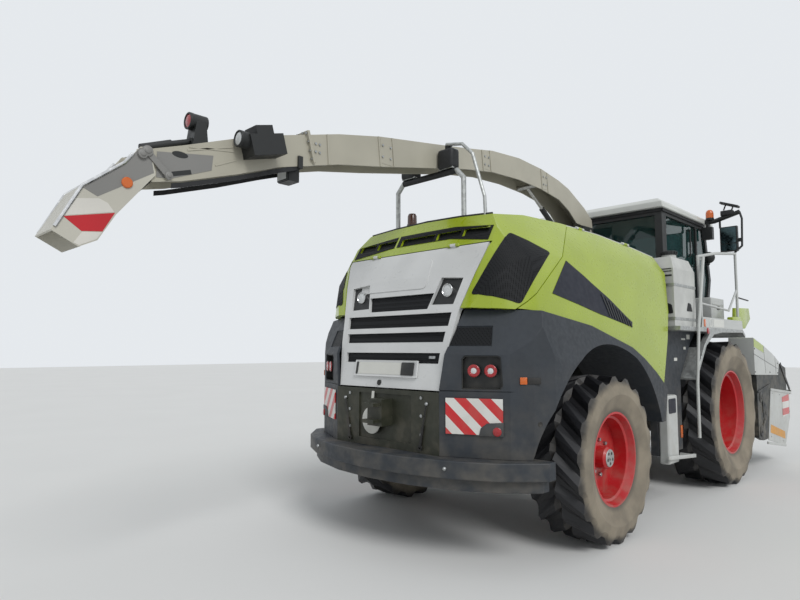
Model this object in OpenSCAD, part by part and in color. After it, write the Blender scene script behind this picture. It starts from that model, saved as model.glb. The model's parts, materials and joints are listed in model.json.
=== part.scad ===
// Self-propelled forage harvester with a pick-up header, parked with its spout on the cradle.
// Frame: X to the machine's right, Y forwards, Z up, origin under the middle of its box.

/* [Layout] */
// Distance from the rear axle to the front axle
wheelbase = 3300; // [3200:10:3400]
// Width over the front tyres
overall_w = 3000; // [2960:10:3100]
// Width over the rear tyres
rear_overall_w = 2980; // [2940:10:3100]
// How far the header reaches in front of the rear axle
nose_reach = 6200; // [6100:10:6400]

/* [Tyres] */
// Radius of a front tyre over its lugs
front_r = 900; // [880:5:920]
// Width of a front tyre
front_w = 650; // [600:5:660]
// Radius of a front rim at its flange
front_rim_r = 520; // [490:5:540]
// Radius of a rear tyre over its lugs
rear_r = 730; // [710:5:740]
// Width of a rear tyre
rear_w = 540; // [500:5:550]
// Radius of a rear rim at its flange
rear_rim_r = 410; // [390:5:430]
// Wall of a rim
rim_wall = 14; // [8:1:20]
// Radius of the wheel spindles
spindle_r = 60; // [40:1:70]

/* [Steering] */
// Distance from a kingpin to the middle of the machine
kingpin_x = 880; // [850:5:900]
// Radius of a kingpin
kingpin_r = 35; // [25:1:40]
// Distance from a kingpin back to its tie rod
arm_reach = 220; // [180:5:240]
// Radius of the tie rod
tie_r = 20; // [15:1:25]

/* [Chassis] */
// Height of the underside of the frame rails
rail_z = 1030; // [1020:5:1045]
// Height of a frame rail
rail_h = 170; // [140:5:200]
// Width of a frame rail
rail_w = 100; // [80:5:110]
// Distance between the outer faces of the two rails
rail_span = 800; // [760:5:820]
// Rear end of the rails behind the rear axle
rail_tail = 1416; // [1400:2:1430]

/* [Hood] */
// Thickness of the hood's panels
panel_t = 36; // [20:1:45]
// Gap at the seams between panels
seam = 8; // [6:1:12]
// Height of the belt line at the rear
belt_z = 2040; // [2000:5:2080]
// Front edge of the hood ahead of the rear axle
hood_front = 1640; // [1600:5:1660]
// Half the width of the fenders
fender_x = 1405; // [1390:5:1430]
// Radius of the rear wheel arch
arch_r = 1160; // [1120:5:1180]
// Wall of the fenders
fender_t = 30; // [15:1:40]

/* [Cab] */
// Width of the cab
cab_w = 1900; // [1800:10:1940]
// Height of the cab's floor
cab_floor = 1950; // [1930:5:1980]
// Height of the cab's roof
cab_top = 3640; // [3600:5:3660]
// Thickness of the cab's walls and door
cab_t = 60; // [40:2:70]
// Thickness of the glass
glass_t = 6; // [4:1:10]

/* [Spout] */
// Distance of the turret's axis ahead of the rear axle
turret_y = 1980; // [1950:5:2000]
// Radius of the turret ring
turret_r = 330; // [300:5:345]
// Width of the spout
spout_w = 280; // [260:5:290]
// Wall of the spout's sheet
spout_t = 12; // [6:1:16]
// Height of the spout's lift pin
lift_pin_z = 3230; // [3220:5:3240]
// Radius of the spout's pins
pin_r = 25; // [15:1:30]

/* [Header] */
// Width of the header
header_w = 2960; // [2900:10:3000]
// Height of the header's lift pivot
header_pivot_z = 1000; // [980:5:1020]
// Radius of the pick-up over its tines
reel_r = 210; // [180:5:230]
// Radius of the intake auger over its flights
auger_r = 260; // [220:5:280]

/* [Hidden] */

$fn = 48;
fit = 0.3;
run_gap = 6;

// Table of the hood's cross-sections:
// [y, half width at the belt, crease x, crease z, shoulder x, shoulder z, crown z]
HOOD = [
    [-1430,  650,  645, 1345,  640, 1350, 1352],
    [-1360,  760,  720, 1750,  700, 1760, 1765],
    [-1290,  890,  830, 2030,  760, 2030, 2040],
    [-1190, 1090,  960, 2250,  840, 2320, 2340],
    [-1090, 1180, 1060, 2360,  890, 2560, 2580],
    [ -980, 1255, 1130, 2430,  900, 2735, 2770],
    [ -890, 1290, 1165, 2460,  790, 2880, 2915],
    [ -500, 1310, 1190, 2500,  850, 2920, 2990],
    [    0, 1320, 1215, 2530,  940, 2905, 3020],
    [  600, 1325, 1245, 2550, 1030, 2865, 3020],
    [ 1200, 1330, 1275, 2550, 1110, 2795, 2970],
    [hood_front, 1330, 1290, 2530, 1160, 2735, 2900]
];
HOOD_FLOOR = 900;

// Table of the spout's side view: [y, top z, bottom z], from the turret to the flap's hinge
SPOUT = [
    [2250, 3290, 3290],
    [2235, 3400, 3290],
    [2040, 3530, 3290],
    [1830, 3625, 3300],
    [1640, 3710, 3430],
    [1400, 3770, 3530],
    [1010, 3830, 3585],
    [ 530, 3855, 3605],
    [  30, 3820, 3585],
    [-420, 3740, 3520],
    [-920, 3660, 3420],
    [-1630, 3550, 3280],
    [-2100, 3450, 3195],
    [-2680, 3290, 3045],
    [-3020, 3180, 2920],
    [-3420, 3030, 2790],
    [-3620, 2960, 2745]
];
FLAP_PIN = [-3690, 2905];
LIFT_PIN = [2130, lift_pin_z];
TAIL_REACH = 4180;
MACHINE_LEN = nose_reach + TAIL_REACH;
HOME_Y = MACHINE_LEN / 2 - nose_reach;

front_x = overall_w / 2 - front_w / 2;
rear_x = rear_overall_w / 2 - rear_w / 2;
RAIL_TOP = rail_z + rail_h;
RAIL_OUT = rail_span / 2;
RAIL_IN = RAIL_OUT - rail_w;
CAB_X = cab_w / 2;
HALF_HEADER = header_w / 2;
HEADER_Y = 4280;
REEL_Y = 5250;
REEL_Z = 520;
AUGER_Y = 4640;
AUGER_Z = 800;

// Moves a shape from the rear axle's frame to the machine's frame
module home() translate([0, HOME_Y, 0]) children();
// Copies a right-hand shape to the left side as well
module both_sides() {
    children();
    mirror([1, 0, 0]) children();
}
// Extrudes a side view (y, z) across the machine from x0 to x1
module across(x0, x1)
    translate([x0, 0, 0]) rotate([90, 0, 90]) linear_extrude(x1 - x0) children();
// Extrudes a plan view upwards from z0 to z1
module upward(z0, z1) translate([0, 0, z0]) linear_extrude(z1 - z0) children();
// Extrudes a rear view (x, z) from y0 to y1
module along(y0, y1)
    translate([0, y1, 0]) rotate([90, 0, 0]) linear_extrude(y1 - y0) children();
// Box between two corners
module block(a, b) translate(a) cube([b[0] - a[0], b[1] - a[1], b[2] - a[2]]);
// Cylinder across the machine
module cross_pin(x0, x1, y, z, r)
    translate([x0, y, z]) rotate([0, 90, 0]) cylinder(h = x1 - x0, r = r);
// Direction between two points
function unit(v) = v / norm(v);
// Bisecting direction at a bend of a route
function bend_dir(pts, i) = unit(
    (i > 0 ? unit(pts[i] - pts[i - 1]) : [0, 0, 0])
    + (i < len(pts) - 1 ? unit(pts[i + 1] - pts[i]) : [0, 0, 0]));
// Tube swept through a route of points that lies in a plane with the given normal
TUBE_SIDES = 12;
module bent_tube(pts, r, normal) {
    m = len(pts);
    n = TUBE_SIDES;
    rings = [for (i = [0 : m - 1])
        let (
            d = bend_dir(pts, i),
            leg = i > 0 ? unit(pts[i] - pts[i - 1]) : d,
            side = unit(cross(d, normal)) / max(0.4, d * leg)
        )
        for (a = [0 : n - 1])
            pts[i] + r * cos(360 * a / n) * normal + r * sin(360 * a / n) * side];
    faces = concat(
        [[for (a = [0 : n - 1]) a]],
        [[for (a = [n - 1 : -1 : 0]) (m - 1) * n + a]],
        [for (i = [0 : m - 2]) for (a = [0 : n - 1]) let (b = (a + 1) % n)
            [i * n + a, (i + 1) * n + a, (i + 1) * n + b]],
        [for (i = [0 : m - 2]) for (a = [0 : n - 1]) let (b = (a + 1) % n)
            [i * n + a, (i + 1) * n + b, i * n + b]]
    );
    polyhedron(rings, faces, convexity = 6);
}
// Places a shape along the line from a to b, its own Z on the line
module on_line(a, b, share) {
    u = unit(b - a);
    translate(a + (b - a) * share) rotate([0, acos(u[2]), atan2(u[1], u[0])]) children();
}
HINGE_R = 15;
HINGE_PIN_R = 8;
HINGE_L = 60;
// The fixed half of a hinge: its pin with a lug at each end
module hinge_lugs() {
    cylinder(h = HINGE_L * 2, r = HINGE_PIN_R, center = true);
    for (s = [-1, 1])
        translate([0, 0, s * HINGE_L * 0.76]) cylinder(h = HINGE_L * 0.48, r = HINGE_R, center = true);
}
// The moving half of a hinge, with a bore for the pin
module hinge_tube() difference() {
    cylinder(h = HINGE_L, r = HINGE_R, center = true);
    cylinder(h = HINGE_L * 3, r = HINGE_PIN_R + fit, center = true);
}
// Room for the whole hinge in the panel that doesn't carry that half
module hinge_room(h) cylinder(h = h, r = HINGE_R + run_gap, center = true);
module lug_room() {
    for (s = [-1, 1])
        translate([0, 0, s * HINGE_L * 0.78]) hinge_room(HINGE_L * 0.62);
    cylinder(h = HINGE_L * 2, r = HINGE_PIN_R + fit, center = true);
}
ACROSS = [1, 0, 0];
ALONG = [0, 1, 0];

// Hood

// Outline of one cross-section, pulled in by a wall of the given depth
function hood_ring(s, t) = [
    [s[1] - t, HOOD_FLOOR + t],
    [s[1] - t, s[3] * 0.55 + HOOD_FLOOR * 0.45],
    [s[2] - t, s[3] - t],
    [s[4] - t, s[5] - t],
    [s[4] * 0.55, (s[5] + 2 * s[6]) / 3 - t],
    [0, s[6] - t],
    [-s[4] * 0.55, (s[5] + 2 * s[6]) / 3 - t],
    [t - s[4], s[5] - t],
    [t - s[2], s[3] - t],
    [t - s[1], s[3] * 0.55 + HOOD_FLOOR * 0.45],
    [t - s[1], HOOD_FLOOR + t]
];
// Place of a cross-section along the machine, with the rear pulled in by the wall and the front let through
function hood_y(s, t) = s[0] + (s[0] < -800 ? t : 0) + (s[0] == hood_front && t > 0 ? 1 : 0);
module hood_form(t) {
    n = 11;
    m = len(HOOD);
    rings = [for (s = HOOD) for (p = hood_ring(s, t)) [p[0], hood_y(s, t), p[1]]];
    middles = [for (s = [HOOD[0], HOOD[m - 1]]) [0, hood_y(s, t), (HOOD_FLOOR + s[3]) / 2]];
    faces = concat(
        [for (i = [0 : n - 1]) [m * n, (i + 1) % n, i]],
        [for (i = [0 : n - 1]) [m * n + 1, (m - 1) * n + i, (m - 1) * n + (i + 1) % n]],
        [for (j = [0 : m - 2]) for (i = [0 : n - 1]) let (k = (i + 1) % n)
            [j * n + i, (j + 1) * n + k, (j + 1) * n + i]],
        [for (j = [0 : m - 2]) for (i = [0 : n - 1]) let (k = (i + 1) % n)
            [j * n + i, j * n + k, (j + 1) * n + k]]
    );
    polyhedron(concat(rings, middles), faces, convexity = 6);
}
module hood_shell() difference() {
    hood_form(0);
    hood_form(panel_t);
}
// Belt line between hood and fender in the side view
BELT = [
    [-1500, belt_z + 10], [-1040, belt_z - 30], [-180, 1900], [550, 1710], [1040, 1460], [1310, 1290]
];
// Side view of what lies above the belt line, raised by a gap
module above_belt(gap) polygon(concat(
    [for (p = BELT) [p[0], p[1] + gap]],
    [[1400, 1290 + gap], [1700, 2300], [1700, 3200], [-1500, 3200]]
));
// Side view of what lies in front of the seam behind the side doors
module ahead_of_seam(gap) polygon([
    [-1075 + gap, 1800], [-1075 + gap, 2010], [110 + gap, 2905], [110 + gap, 3300],
    [2000, 3300], [2000, 1000], [-1075 + gap, 1000]
]);
// Rear view of the band between the side seams of the rear face
module rear_band_view(gap) polygon([
    [-630 + gap, 1350], [-726 + gap, 2000], [-887 + gap, 2560], [-980 + gap, 2850], [-980 + gap, 3100],
    [980 - gap, 3100], [980 - gap, 2850], [887 - gap, 2560], [726 - gap, 2000], [630 - gap, 1350]
]);
// Rear view of the roof strip's width
module roof_plan(gap) polygon([
    [-790 + gap, -885], [-850 + gap, -500], [-940 + gap, 0], [-1030 + gap, 600], [-1110 + gap, 1200],
    [-1160 + gap, hood_front], [1160 - gap, hood_front], [1110 - gap, 1200], [1030 - gap, 600],
    [940 - gap, 0], [850 - gap, -500], [790 - gap, -885]
]);
REAR_DOOR_TOP = 2600;
REAR_DOOR_X = 876;

// Ends of the side doors' hinge line, right-hand side, along the roof strip's edge
DOOR_LINE = [[940, 0, 2913], [1110, 1200, 2803]];
DOOR_HINGES = [0.25, 0.9];
REAR_LINE = [[-500, -1082, 2608], [500, -1082, 2608]];
REAR_HINGES = [0, 1];
module side_hinges() for (h = DOOR_HINGES) on_line(DOOR_LINE[0], DOOR_LINE[1], h) children();
module rear_hinges() for (h = REAR_HINGES) on_line(REAR_LINE[0], REAR_LINE[1], h) children();

module hood_roof() color("lightgray") home() {
    difference() {
        intersection() {
            hood_shell();
            upward(2600, 3200) roof_plan(fit / 2);
        }
        both_sides() side_hinges() hinge_room(HINGE_L + run_gap * 2);
    }
    both_sides() side_hinges() hinge_lugs();
}
module hood_rear() color("yellowgreen") home() {
    difference() {
        intersection() {
            hood_shell();
            across(-1500, 1500) above_belt(0);
        }
        across(-1500, 1500) ahead_of_seam(-seam / 2);
        upward(2600, 3200) roof_plan(-fit / 2);
        along(-1600, -1000) intersection() {
            rear_band_view(-seam / 2);
            translate([-1500, 0]) square([3000, REAR_DOOR_TOP + seam / 2]);
        }
        rear_hinges() hinge_room(HINGE_L + run_gap * 2);
        sunk(VENT_DEPTH) for (v = VENTS) translate([v[0], 2690]) square([v[1] - v[0], 70]);
    }
    rear_hinges() hinge_lugs();
}
// Table of the air vents above the rear door: [left x, right x]
VENTS = [[-830, -590], [-560, -300], [-220, 210], [240, 520], [550, 830]];
VENT_DEPTH = 20;
// The door's rear edge is stepped, so that its inner side clears the fixed panel as it swings up
EDGE_STEP = 40;
SKIN_T = 10;
module side_door_right() color("yellowgreen") home() {
    difference() {
        intersection() {
            hood_shell();
            across(200, 1500) above_belt(seam);
            across(200, 1500) ahead_of_seam(seam);
        }
        difference() {
            hood_form(SKIN_T);
            across(190, 1510) ahead_of_seam(EDGE_STEP);
        }
        upward(2600, 3200) roof_plan(-seam);
        side_hinges() lug_room();
    }
    side_hinges() hinge_tube();
}
module side_door_left() mirror([1, 0, 0]) side_door_right();
module rear_door() color("white") home() {
    difference() {
        intersection() {
            hood_shell();
            along(-1600, -1000) intersection() {
                rear_band_view(seam / 2);
                translate([-REAR_DOOR_X, 1352]) square([2 * REAR_DOOR_X, REAR_DOOR_TOP - seam / 2 - 1352]);
            }
        }
        rear_hinges() lug_room();
        sunk(DOOR_SLOT_DEPTH) for (s = DOOR_SLOTS) polygon([
            [s[0], s[3]], [s[0] - s[4], s[2]], [s[1] + s[4], s[2]], [s[1], s[3]]
        ]);
        sunk(DOOR_SLOT_DEPTH) both_halves() polygon([[459, 2316], [706, 2295], [655, 2068], [392, 2075]]);
    }
    rear_hinges() hinge_tube();
}
// Table of the rear door's air slots: [left x, right x, top z, bottom z, how far the top is wider at each end]
DOOR_SLOTS = [
    [-372, 372, 2180, 2040, 40], [-640, 640, 2000, 1885, 14],
    [-612, 612, 1837, 1750, 10], [-585, 585, 1660, 1570, 8]
];
DOOR_SLOT_DEPTH = 24;
// Pocket of a given depth below the hood's surface, from a rear view
module sunk(depth) difference() {
    along(-1600, -850) children();
    hood_form(depth);
}

// Fenders

// The rear face of a fender sweeps forward to its outer corner, and leans forward above its crease
TAIL_Y = -rail_tail - 34;
TAIL_X = 640;
SWEEP = 25.7;
LEAN = 22.5;
CREASE_Z = 1650;
CORNER = [1160, TAIL_Y + (1160 - TAIL_X) * tan(SWEEP)];
// Plan of a fender pulled in by a wall
module fender_plan(t) polygon([
    [TAIL_X - t, TAIL_Y + 0.63 * t], [CORNER[0] - 0.55 * t, CORNER[1] + 0.85 * t],
    [CORNER[0] + 140 - 0.8 * t, CORNER[1] + 120 + 0.6 * t], [fender_x - 10 - t, CORNER[1] + 270 + 0.35 * t],
    [fender_x - t, CORNER[1] + 400], [fender_x - t, 1330], [TAIL_X - t, 1330]
]);
// Side view of a fender below the belt line
module fender_side(t) polygon(concat(
    [[-1530, 834 + t], [-1530, 1700], [-1340, 2036 - fit - t]],
    [for (i = [1 : len(BELT) - 1]) [BELT[i][0] - (i > 4 ? t / 2 : 0), BELT[i][1] - fit - t]],
    [[1240 - t, 950 + t], [-900, 950 + t], [-1000, 834 + t]]
));
// Places a shape on the swept rear face: X along it from its inner edge, Y out of it to the rear, Z up
module on_sweep() translate([TAIL_X, TAIL_Y, 0]) rotate(SWEEP) children();
module fender_form(t) difference() {
    intersection() {
        across(600, 1500) fender_side(t);
        upward(800, 2100) fender_plan(t);
    }
    on_sweep() translate([0, t, CREASE_Z]) rotate([-LEAN, 0, 0]) block([-400, -500, 0], [1400, 0, 800]);
    along(-1600, 1400) polygon([[1405 - t, 1600], [1290 - t, 2100], [1600, 2100], [1600, 1600]]);
}
module arch_cut(r) cross_pin(-10, 1500, 40, 575, r);
LAMP_BOX = [[190, 1372], [500, 1372], [520, 1400], [505, 1628], [480, 1640], [215, 1640], [190, 1610]];
module fender_right() color("dimgray") home() {
    difference() {
        fender_form(0);
        fender_form(fender_t);
        arch_cut(arch_r);
        along(-1600, -1000) rear_band_view(-seam);
        on_sweep() {
            along(-100, 200) polygon(LAMP_BOX);
            block([-20, -60, 1352], [620, 8, 1360]);
        }
        // Sunk dark panel in the leaning face
        on_sweep() translate([0, 0, CREASE_Z]) rotate([-LEAN, 0, 0]) block([60, -60, 70], [430, 12, 250]);
    }
    intersection() {
        difference() {
            cross_pin(700, fender_x - 10, 40, 575, arch_r + fender_t);
            arch_cut(arch_r);
        }
        fender_form(fender_t / 2);
    }
}
module fender_left() mirror([1, 0, 0]) fender_right();

// Round lamps in a sunk box at each rear corner, and a warning board below it
module rear_lamps() color([0.1, 0.1, 0.1]) home() both_sides() on_sweep() difference() {
    union() {
        along(8, 90) offset(delta = -fit) polygon(LAMP_BOX);
        for (u = [290, 425])
            translate([u, 60, 1520]) rotate([90, 0, 0]) cylinder(h = 62, r = 52);
    }
    difference() {
        along(7, 60) offset(delta = -8) polygon(LAMP_BOX);
        for (u = [290, 425])
            translate([u, 70, 1520]) rotate([90, 0, 0]) cylinder(h = 80, r = 52);
    }
}
BOARD = [60, 520, 1020, 1303];
module warning_boards() color("whitesmoke") home() both_sides() on_sweep() {
    block([BOARD[0], -16, BOARD[2]], [BOARD[1], -6, BOARD[3]]);
    for (u = [BOARD[0] + 60, BOARD[1] - 100])
        block([u, -7, BOARD[2] + 80], [u + 40, -fit, BOARD[3] - 80]);
}

// Plan of the bumper
BUMPER_SIDE = CORNER[1] + 100;
module bumper_plan(t) both_halves() polygon([
    [0, BUMPER_SIDE + 100], [1430 - t, BUMPER_SIDE + 100], [1430 - t, BUMPER_SIDE], [1160 - t / 2, BUMPER_SIDE - 275 + t],
    [860, BUMPER_SIDE - 435 + t], [450, BUMPER_SIDE - 560 + t], [0, BUMPER_SIDE - 600 + t]
]);
module both_halves() {
    children();
    mirror([1, 0]) children();
}
// Heights of the bumper's lower edge, of its step and of its top
BUMPER_Z = [600, 700, 834 - fit];
module bumper() color("darkslategray") home() difference() {
    union() {
        upward(BUMPER_Z[1] - 5, BUMPER_Z[2]) bumper_plan(0);
        upward(BUMPER_Z[0], BUMPER_Z[1]) bumper_plan(60);
    }
    block([-TAIL_X, -rail_tail - fit, 500], [TAIL_X, -900, 1000]);
    upward(500, BUMPER_Z[2] - 30) bumper_hollow();
}
module bumper_hollow() difference() {
    bumper_plan(110);
    translate([-1500, BUMPER_SIDE + 70]) square([3000, 400]);
}
module hitch_panel() color("darkolivegreen") home() {
    difference() {
        block([-TAIL_X + fit, TAIL_Y, 834], [TAIL_X - fit, -rail_tail, 1340]);
        // Sunk field round the coupling
        block([-330, TAIL_Y - 10, 900], [330, TAIL_Y + 14, 1300]);
    }
    block([-90, TAIL_Y - 116, 1030], [90, TAIL_Y + 15, 1260]);
    difference() {
        for (z = [1060, 1200])
            block([-70, TAIL_Y - 196, z], [70, TAIL_Y - 116, z + 30]);
        translate([0, TAIL_Y - 161, 1000]) cylinder(h = 300, r = HITCH_R);
    }
}
HITCH_R = 16;

// Chassis

// Outer end of the outrigger that meets the inside of the swept fender
OUTRIGGER_X = 880;
OUTRIGGER_Y = TAIL_Y + (OUTRIGGER_X - TAIL_X) * tan(SWEEP) + fender_t / cos(SWEEP) + fit;
module main_frame() color("dimgray") home() {
    both_sides() {
        block([RAIL_IN, -rail_tail, rail_z], [RAIL_OUT, 3600, RAIL_TOP]);
        block([RAIL_IN, -rail_tail, 690], [RAIL_OUT, -rail_tail + 80, rail_z]);
        block([RAIL_OUT, OUTRIGGER_Y, rail_z], [OUTRIGGER_X, OUTRIGGER_Y + 100, RAIL_TOP]);
        for (y = [2620, 3500])
            block([RAIL_OUT, y, rail_z], [RAIL_OUT + 90, y + 90, cab_floor - 20]);
        block([RAIL_OUT, 1560, rail_z], [SKIRT_X, 1660, RAIL_TOP]);
        block([RAIL_OUT - 20, -860, RAIL_TOP], [RAIL_OUT + 60, -780, 2840]);
    }
    for (y = [-1400, -700, 300, 1300])
        block([-RAIL_IN, y, rail_z + 20], [RAIL_IN, y + 90, RAIL_TOP - 20]);
    for (y = [-760, 160])
        block([-RAIL_OUT, y, RAIL_TOP], [RAIL_OUT, y + 100, RAIL_TOP + 110]);
    for (s = [-1, 1])
        difference() {
            block([-110, s * 110 - 15, 640], [110, s * 110 + 15, RAIL_TOP - 20]);
            translate([0, s * 110 + 20, rear_r]) rotate([90, 0, 0]) cylinder(h = 40, r = 30 + fit);
        }
    block([-RAIL_IN, -125, rail_z + 20], [RAIL_IN, 125, RAIL_TOP - 20]);
}
ENGINE_Z = [RAIL_TOP + 110, 2350];
module engine_block() color("gray") home()
    block([-620, -760, ENGINE_Z[0]], [620, 260, ENGINE_Z[1]]);

module front_axle() color("dimgray") home() {
    block([-560, wheelbase - 130, rail_z - 260], [560, wheelbase + 130, rail_z]);
    both_sides() block([LIFT_X - 60, wheelbase - 130, 580], [LIFT_X + 60, wheelbase + 130, rail_z - 250]);
    difference() {
        both_sides() for (x = [LIFT_X - 44, LIFT_X + 28 + fit])
            block([x, wheelbase + 130, 580], [x + 16 - fit, wheelbase + 270, rail_z - 100]);
        cross_pin(-600, 600, LIFT_BASE[0], LIFT_BASE[1], 20 + fit);
    }
    both_sides() {
        cross_pin(560, front_x - front_w / 2 - 30, wheelbase, front_r, 240);
        cross_pin(front_x - front_w / 2 - 30, front_x + 40, wheelbase, front_r, spindle_r * 2);
    }
}
module rear_axle() color("dimgray") home() {
    difference() {
        union() {
            block([-kingpin_x + 60, -90, rear_r - 90], [kingpin_x - 60, 90, rear_r + 90]);
            both_sides() translate([kingpin_x, 0, rear_r - 90]) cylinder(h = 180, r = 70);
        }
        both_sides() translate([kingpin_x, 0, rear_r - 100]) cylinder(h = 200, r = kingpin_r + fit);
    }
    rotate([90, 0, 0]) translate([0, rear_r, -130]) cylinder(h = 40, r = 30);
    rotate([90, 0, 0]) translate([0, rear_r, 90]) cylinder(h = 40, r = 30);
    difference() {
        union() {
            block([-300, -arch_gap - 40, TIE_Z - 40], [300, -arch_gap + 40, TIE_Z + 40]);
            block([-120, -arch_gap, TIE_Z - 30], [120, 0, TIE_Z + 60]);
        }
        cross_pin(-320, 320, -arch_gap, TIE_Z, tie_r + fit);
    }
}
arch_gap = arm_reach;
TIE_Z = rear_r - 90 - 90;

// Knuckle of the right rear wheel
module knuckle_right() color("dimgray") home() {
    translate([kingpin_x, 0, 0]) {
        translate([0, 0, rear_r - 160]) cylinder(h = 320, r = kingpin_r);
        for (z = [rear_r - 160, rear_r + 90 + run_gap])
            hull() {
                translate([0, 0, z]) cylinder(h = 60, r = 62, $fn = 32);
                block([85, -60, z], [100, 60, z + 60]);
            }
        block([76, -60, rear_r - 160], [110, 60, rear_r + 90 + run_gap + 60]);
        hull() {
            block([-30, -70, rear_r - 160], [30, -50, rear_r - 120]);
            translate([-20, -arm_reach, rear_r - 160]) cylinder(h = 40, r = 34, $fn = 32);
        }
    }
    cross_pin(kingpin_x + 110, rear_x + 60, 0, rear_r, spindle_r);
}
module knuckle_left() mirror([1, 0, 0]) knuckle_right();
module tie_rod() color("silver") home() {
    cross_pin(-kingpin_x + 60, kingpin_x - 60, -arm_reach, TIE_Z, tie_r);
    both_sides() translate([kingpin_x - 20, -arm_reach, TIE_Z - tie_r - 4]) {
        cylinder(h = rear_r - 160 - TIE_Z + tie_r + 4 - fit, r = 42);
        block([-60, -18, 0], [0, 18, 2 * tie_r]);
    }
}

// Wheels

// Table across a tyre, from its inner bead to its outer one:
// [x as a share of the width, share of rim radius, drop from the tread between lugs, drop on a lug, lug's lead]
TREAD = [
    [-0.40, 1, 0, 0, 0], [-0.50, 0.52, 0, 0, 0], [-0.475, 0, 95, 62, 0], [-0.43, 0, 56, 8, 0],
    [-0.03, 0, 45, 0, 3], [0.03, 0, 45, 0, 3], [0.43, 0, 56, 8, 0], [0.475, 0, 95, 62, 0],
    [0.50, 0.52, 0, 0, 0], [0.40, 1, 0, 0, 0]
];
LUGS = 18;
// Tyre about the X axis with chevron lugs whose middle meets the ground first, one side half a lug ahead
module tyre(r, w, rim) color([0.12, 0.12, 0.12]) {
    m = LUGS * 4;
    n = len(TREAD);
    step = 360 / m;
    bore = rim / cos(step / 2);
    points = [for (j = [0 : m - 1]) for (c = TREAD) let (
        on_lug = (j + (c[0] > 0 ? 2 : 0)) % 4 > 1,
        a = 180 + (j + c[4] - 5) * step,
        q = c[1] * bore + (1 - c[1]) * r - (on_lug ? c[3] : c[2])
    ) [c[0] * w, q * sin(a), q * cos(a)]];
    faces = concat(
        [for (j = [0 : m - 1]) for (i = [0 : n - 1]) let (k = (j + 1) % m, i2 = (i + 1) % n)
            [j * n + i, k * n + i2, j * n + i2]],
        [for (j = [0 : m - 1]) for (i = [0 : n - 1]) let (k = (j + 1) % m, i2 = (i + 1) % n)
            [j * n + i, k * n + i, k * n + i2]]
    );
    polyhedron(points, faces, convexity = 10);
}
// Rim with a dished disc: disc_x is the disc's place from the tyre's middle
module rim(rim_r, w, disc_x, bore) color("firebrick") rotate([0, 90, 0]) {
    rotate_extrude($fn = 72) polygon([
        [rim_r - fit, -w * 0.40], [rim_r - fit, w * 0.40], [rim_r - 18, w * 0.40],
        [rim_r - 40, w * 0.30], [rim_r - 60, w * 0.28], [rim_r - 60, disc_x + rim_wall],
        [bore + 120, disc_x + rim_wall + 10], [bore + 60, disc_x + 40], [bore, disc_x + 40],
        [bore, disc_x - 40], [bore + 60, disc_x - 40], [bore + 120, disc_x - 10],
        [rim_r - 60 - rim_wall, disc_x], [rim_r - 60 - rim_wall, -w * 0.28],
        [rim_r - 40, -w * 0.36], [rim_r - 18, -w * 0.40]
    ]);
}
// Cap over the end of a rear spindle
module hub_cap(disc_x, r) rotate([0, 90, 0]) rotate_extrude() polygon([
    [0, disc_x + 41], [r, disc_x + 41], [r, disc_x + 38], [r + 40, disc_x + 38], [r + 38, disc_x + 120],
    [r + 20, disc_x + 138], [0, disc_x + 138]
]);
module at_front(s) home() translate([s * front_x, wheelbase, front_r]) mirror([s < 0 ? 1 : 0, 0, 0]) children();
module at_rear(s) home() translate([s * rear_x, 0, rear_r]) mirror([s < 0 ? 1 : 0, 0, 0]) children();
module tyre_front_right() at_front(1) tyre(front_r, front_w, front_rim_r);
module tyre_front_left() at_front(-1) tyre(front_r, front_w, front_rim_r);
module tyre_rear_right() at_rear(1) tyre(rear_r, rear_w, rear_rim_r);
module tyre_rear_left() at_rear(-1) tyre(rear_r, rear_w, rear_rim_r);
module rim_front_right() at_front(1) rim(front_rim_r, front_w, -20, spindle_r * 2 + fit);
module rim_front_left() at_front(-1) rim(front_rim_r, front_w, -20, spindle_r * 2 + fit);
REAR_DISC_X = 20;
module rear_rim() {
    rim(rear_rim_r, rear_w, REAR_DISC_X, spindle_r + fit);
    color("silver") hub_cap(REAR_DISC_X, spindle_r + fit);
}
module rim_rear_right() at_rear(1) rear_rim();
module rim_rear_left() at_rear(-1) rear_rim();

// Cradle on the hood's roof

CRADLE_Y = -840;
module cradle() color("silver") home() difference() {
    union() {
        translate([0, CRADLE_Y, 0]) {
            bent_tube([[-430, 0, 2860], [-430, 0, 3290], [-350, 0, 3375], [350, 0, 3375],
                [430, 0, 3290], [430, 0, 2860]], 24, ALONG);
            bent_tube([[700, -30, 2860], [690, -30, 3060], [560, -30, 3480], [440, -30, 3600],
                [250, -30, 3640]], 16, ALONG);
            both_sides() block([160, -45, 3399], [330, 45, 3590]);
        }
    }
    hood_form(-fit / 2);
}

// Cab

// Foremost point of the windscreen
CAB_NOSE = 4270;
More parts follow.
